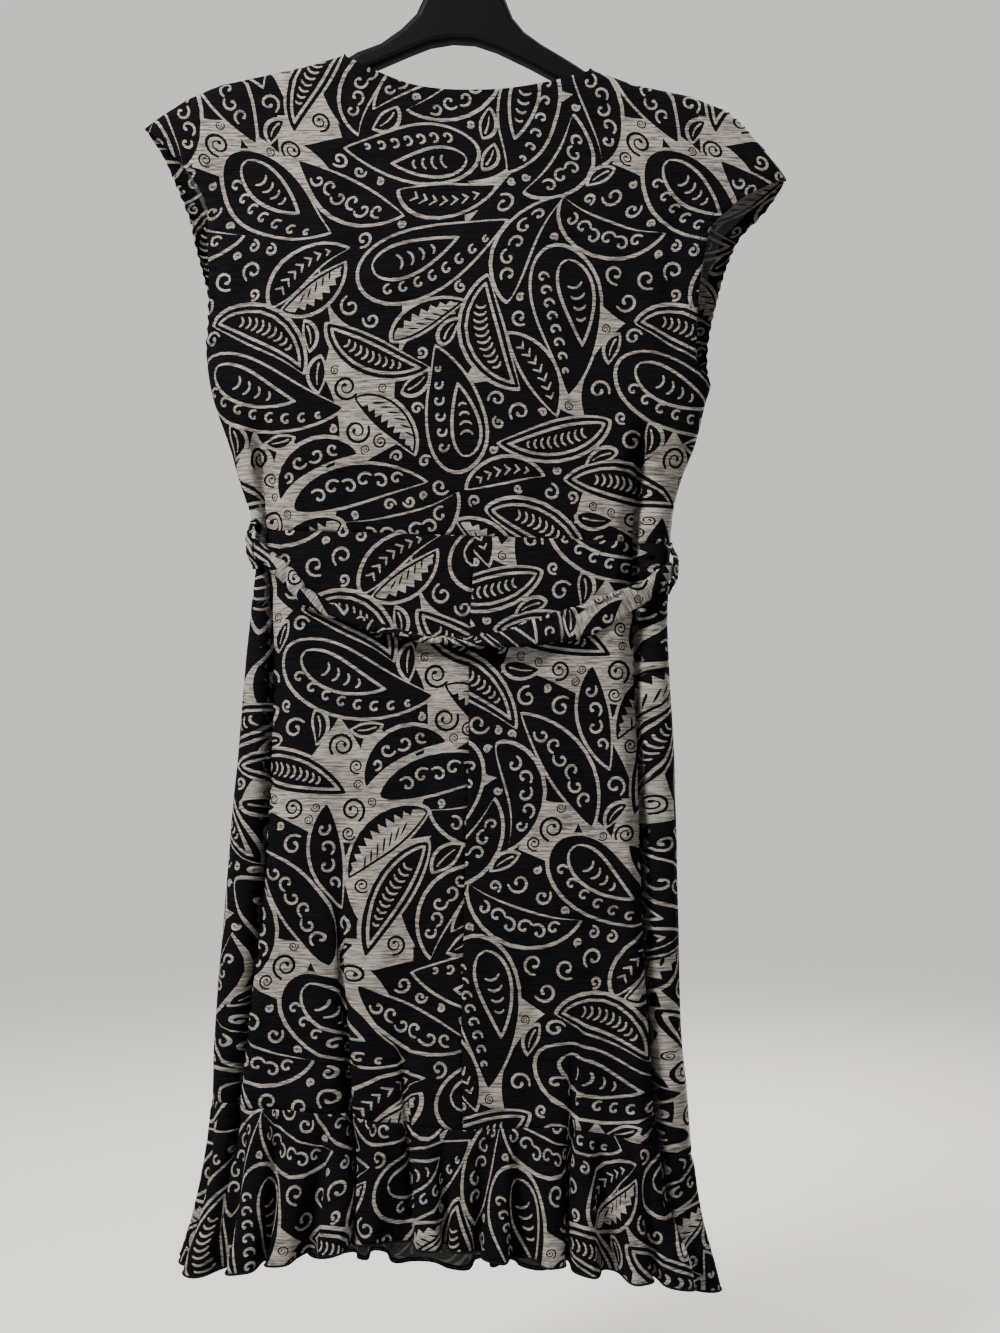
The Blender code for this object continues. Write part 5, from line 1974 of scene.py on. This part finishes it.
def make_bands():
    on_skirt = ["skirt_back_left_cloth", "skirt_back_right_cloth", "skirt_front_over_cloth"]
    make_band("belt_cloth", belt_band(), (162, 246), ["belt"], "hung", on_skirt, "belt_jersey")
    core = make_band(
        "belt_through_knot", knot_core(), (12, 210), ["belt_knot"], "folded",
        ["skirt_front_over_cloth"], "belt_jersey", spacing=2.0,
    )
    make_band(
        "belt_knot_cloth", knot_band(), (90, 17), ["belt_knot"], "folded", [core], "belt_jersey",
        spacing=2.0,
    )
    for name, shift in (("belt_tail_long", (51, 300)), ("belt_tail_short", (140, 120))):
        make_band(
            name + "_cloth", tail_band(TAILS[name]), shift, [name], "hung", [core], "belt_jersey",
            point=END_POINT,
        )
    for name, shift in (("belt_loop_left", (7, 11)), ("belt_loop_right", (77, 45))):
        make_band(
            name + "_cloth", loop_band(*LOOPS[name]), shift, [name], "folded",
            ["back_bodice_cloth"], "printed_jersey", thick=0.45, spacing=2.0,
        )


# ---------------------------------------------------------------- thread and small marks

# The overlocked hem edge: its half thickness, stitch pitch, swell and step along the line.
OVERLOCK, STITCH_GAUGE, OVERLOCK_SWELL, OVERLOCK_STEP = 1.05, 2.3, 0.16, 0.9
STITCH_LONG, STITCH_GAP, STITCH_THICK = 2.7, 1.0, 0.28
STITCH_PARTS = 4
STITCH_RADII = STITCH_THICK * np.array([0.45, 0.95, 1.0, 0.95, 0.45])
# How far the stitch rows lie inside their edges, and how far they stand on the cloth.
STITCH_IN, STITCH_OUT = 6.0, 0.1
# A cut-plane point inside every bodice piece, and how far aside it lies for the wrap edges.
MIDDLE, WRAP_ASIDE = np.array([0.0, -330.0]), 120.0
# Pips of the hanger's mould: their places, radii, and how they stand on its face.
MARKS = ((-33, -84), (14, -82))
MARK_RADII = np.array([1.15, 1.15, 1.0, 0.5])
MARK_SUNK, MARK_STEP = 0.2, 0.12


def tube_mesh(line, radius, sides):
    """Points and triangles of a closed round tube along a line."""
    along = unit(np.gradient(line, axis=0))
    aside = unit(np.cross(along, (0.3, 0.2, 1.0)))
    above = np.cross(aside, along)
    turn = 2 * math.pi * np.arange(sides) / sides
    cosine, sine = np.cos(turn)[None, :, None], np.sin(turn)[None, :, None]
    ring = aside[:, None] * cosine + above[:, None] * sine
    points = (line[:, None] + ring * radius[:, None, None]).reshape(-1, 3)
    k = np.arange(sides)
    quads = []
    for row in range(len(line) - 1):
        a, b = row * sides + k, row * sides + (k + 1) % sides
        quads.append(np.stack([a, b, b + sides, a + sides], axis=-1))
    quads = np.concatenate(quads)
    triangles = np.concatenate([quads[:, [0, 1, 2]], quads[:, [0, 2, 3]]])
    first = np.array([(0, j + 1, j) for j in range(1, sides - 1)])
    last = np.array([(0, j, j + 1) for j in range(1, sides - 1)]) + (len(line) - 1) * sides
    return points, np.concatenate([triangles, first, last])


def even_line(points, step):
    run = run_along(points)
    return read_columns(np.arange(0, run[-1], step), run, points)


def add_thread(name, points, triangles, material):
    slots = np.zeros(len(triangles), int)
    made = mesh_of(name, points, triangles, slots, points[:, [0, 2]], [material])
    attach(made, "root")
    return made


def overlock(name, line):
    line = even_line(line, OVERLOCK_STEP)
    phase = 2 * math.pi * np.arange(len(line)) * OVERLOCK_STEP / STITCH_GAUGE
    wave = 1 + OVERLOCK_SWELL * np.sin(phase)
    made = add_thread(name, *tube_mesh(line, OVERLOCK * wave, 6), THREAD)
    return made


def stitches(name, lines):
    """Rows of short machine stitches on the cloth, all in one piece."""
    every, faces, count = [], [], 0
    step = STITCH_LONG / STITCH_PARTS
    period = int(round((STITCH_LONG + STITCH_GAP) / step))
    for line in lines:
        line = even_line(line, step)
        for start in range(0, len(line) - len(STITCH_RADII), period):
            dash = line[start : start + len(STITCH_RADII)]
            points, triangles = tube_mesh(dash, STITCH_RADII, 5)
            every.append(points)
            faces.append(triangles + count)
            count += len(points)
    made = add_thread(name, np.concatenate(every), np.concatenate(faces), THREAD)
    return made


def inset(line, inward):
    """A cut-plane line moved sideways towards a point inside the piece."""
    along = unit(np.gradient(line, axis=0))
    aside = np.stack([-along[:, 1], along[:, 0]], axis=-1)
    if np.sum(aside * (inward - line)) < 0:
        aside = -aside
    return line + aside * STITCH_IN


def make_threads():
    for name, face, first, last, over, *_ in RUFFLES:
        lengths = FLUTE_LENGTHS[face]
        share = np.linspace(first, last, 1400)
        u = np.interp(share, FLUTE_SHARES, lengths)
        hem = np.stack([u, hem_z(face, share, over)], axis=-1)
        line = place_ruffle(face, lengths, over)(hem, STAND - THICK / 2)
        overlock(name + "_overlock", line)
    rows = []

    def sew(face, over, line, inward, part=slice(None)):
        rows.append(place_bodice(face, over)(inset(line, inward)[part], STAND + STITCH_OUT))

    # the rows start a little below the shoulder seams
    for table in (ARMHOLE_LEFT, ARMHOLE_RIGHT):
        sew(BACK, True, bodice_cut(BACK, *armhole_line(table, BACK)), MIDDLE, slice(3, None))
    sew(BACK, True, bodice_cut(BACK, *neckline()), MIDDLE, slice(3, -3))
    for over, table in ((True, ARMHOLE_RIGHT), (False, ARMHOLE_LEFT)):
        sew(FRONT, over, bodice_cut(FRONT, *armhole_line(table, FRONT)), MIDDLE, slice(3, None))
        way = MIDDLE + (WRAP_ASIDE if over else -WRAP_ASIDE, 0)
        sew(FRONT, over, wrap_curve(over, np.linspace(0.02, 0.985, 120)), way)
    stitches("edge_stitches", rows)


def make_marks():
    """Two small pips that the mould leaves on the hanger's neck."""
    low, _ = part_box("hanger_body")
    face_y = low[1] / MM
    for k, (x, z) in enumerate(MARKS):
        depths = [face_y + MARK_SUNK - MARK_STEP * j for j in range(len(MARK_RADII))]
        line = np.array([(x, y, z) for y in depths])
        made = add_thread(f"hanger_mark_{k + 1}", *tube_mesh(line, MARK_RADII, 14), PLASTIC_DARK)


# ---------------------------------------------------------------- camera, light, floor

# The camera's place, and half the height that it sees at the dress.
CAMERA = (24.6, -1250.0, -641.0)
VIEW_HALF_HEIGHT = 546.5
FLOOR_Z = -1330.0
FLOOR_RADIUS = 2600.0
# The floor fades out between these shares of its radius.
FLOOR_FADE = (0.35, 0.97)
WORLD_COLOUR = (0.82, 0.805, 0.775, 1.0)
FLOOR_COLOUR = (0.34, 0.337, 0.33, 1.0)
LIGHTS = (
    # name, place, size, power, colour
    ("key", (-1400, -1400, 900), 520, 240, (1.0, 0.97, 0.93)),
    ("fill", (1700, -1500, -300), 1600, 14, (0.95, 0.97, 1.0)),
    ("front_key", (1300, 1400, 900), 620, 200, (1.0, 0.97, 0.94)),
    ("front_fill", (-1700, 1500, -500), 1600, 14, (0.95, 0.97, 1.0)),
    ("top", (0, 0, 1500), 1400, 20, (1.0, 1.0, 1.0)),
)
AIM = (0, 0, -650)


def place_camera(scene):
    data = bpy.data.cameras.new("camera")
    data.sensor_fit = "VERTICAL"
    data.angle = 2 * math.atan(VIEW_HALF_HEIGHT / -CAMERA[1])
    data.clip_end = 50
    camera = bpy.data.objects.new("camera", data)
    camera.location = Vector(CAMERA) * MM
    camera.rotation_euler = (math.pi / 2, 0, 0)
    scene.collection.objects.link(camera)
    scene.camera = camera


def light_scene(scene):
    world = bpy.data.worlds.new("studio")
    world.use_nodes = True
    world.node_tree.nodes["Background"].inputs["Color"].default_value = WORLD_COLOUR
    scene.world = world

    for name, place, size, power, colour in LIGHTS:
        light = bpy.data.lights.new(name, "AREA")
        light.size = size * MM
        light.energy = power
        light.color = colour
        lamp = bpy.data.objects.new(name, light)
        lamp.location = Vector(place) * MM
        aim = (Vector(AIM) - Vector(place)).to_track_quat("-Z", "Y")
        lamp.rotation_euler = aim.to_euler()
        scene.collection.objects.link(lamp)


def lay_floor():
    """A floor that fades out towards its rim, so no horizon crosses the picture."""
    bpy.ops.mesh.primitive_circle_add(
        vertices=96, radius=FLOOR_RADIUS * MM, fill_type="NGON", location=(0, 0, FLOOR_Z * MM)
    )
    floor = bpy.context.object
    floor.name = "floor"
    finish, shader = new_finish("floor", 0.9)
    shader.inputs["Base Color"].default_value = FLOOR_COLOUR
    tree = finish.node_tree
    place = add_node(tree, "ShaderNodeTexCoord", {}).outputs["Object"]
    reach = add_node(tree, "ShaderNodeVectorMath", {0: place}, operation="LENGTH")
    values = {
        "Value": reach.outputs["Value"],
        "From Min": FLOOR_FADE[0] * FLOOR_RADIUS * MM,
        "From Max": FLOOR_FADE[1] * FLOOR_RADIUS * MM,
        "To Min": 1.0,
        "To Max": 0.0,
    }
    fade = add_node(tree, "ShaderNodeMapRange", values, interpolation_type="SMOOTHSTEP")
    tree.links.new(fade.outputs["Result"], shader.inputs["Alpha"])
    floor.data.materials.append(finish)


place_camera(bpy.context.scene)
light_scene(bpy.context.scene)
lay_floor()
make_panels()
make_bands()
make_threads()
make_marks()

for name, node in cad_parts.items():
    node.data.materials.clear()
    node.data.materials.append(STEEL if name == "hanger_hook" else PLASTIC)
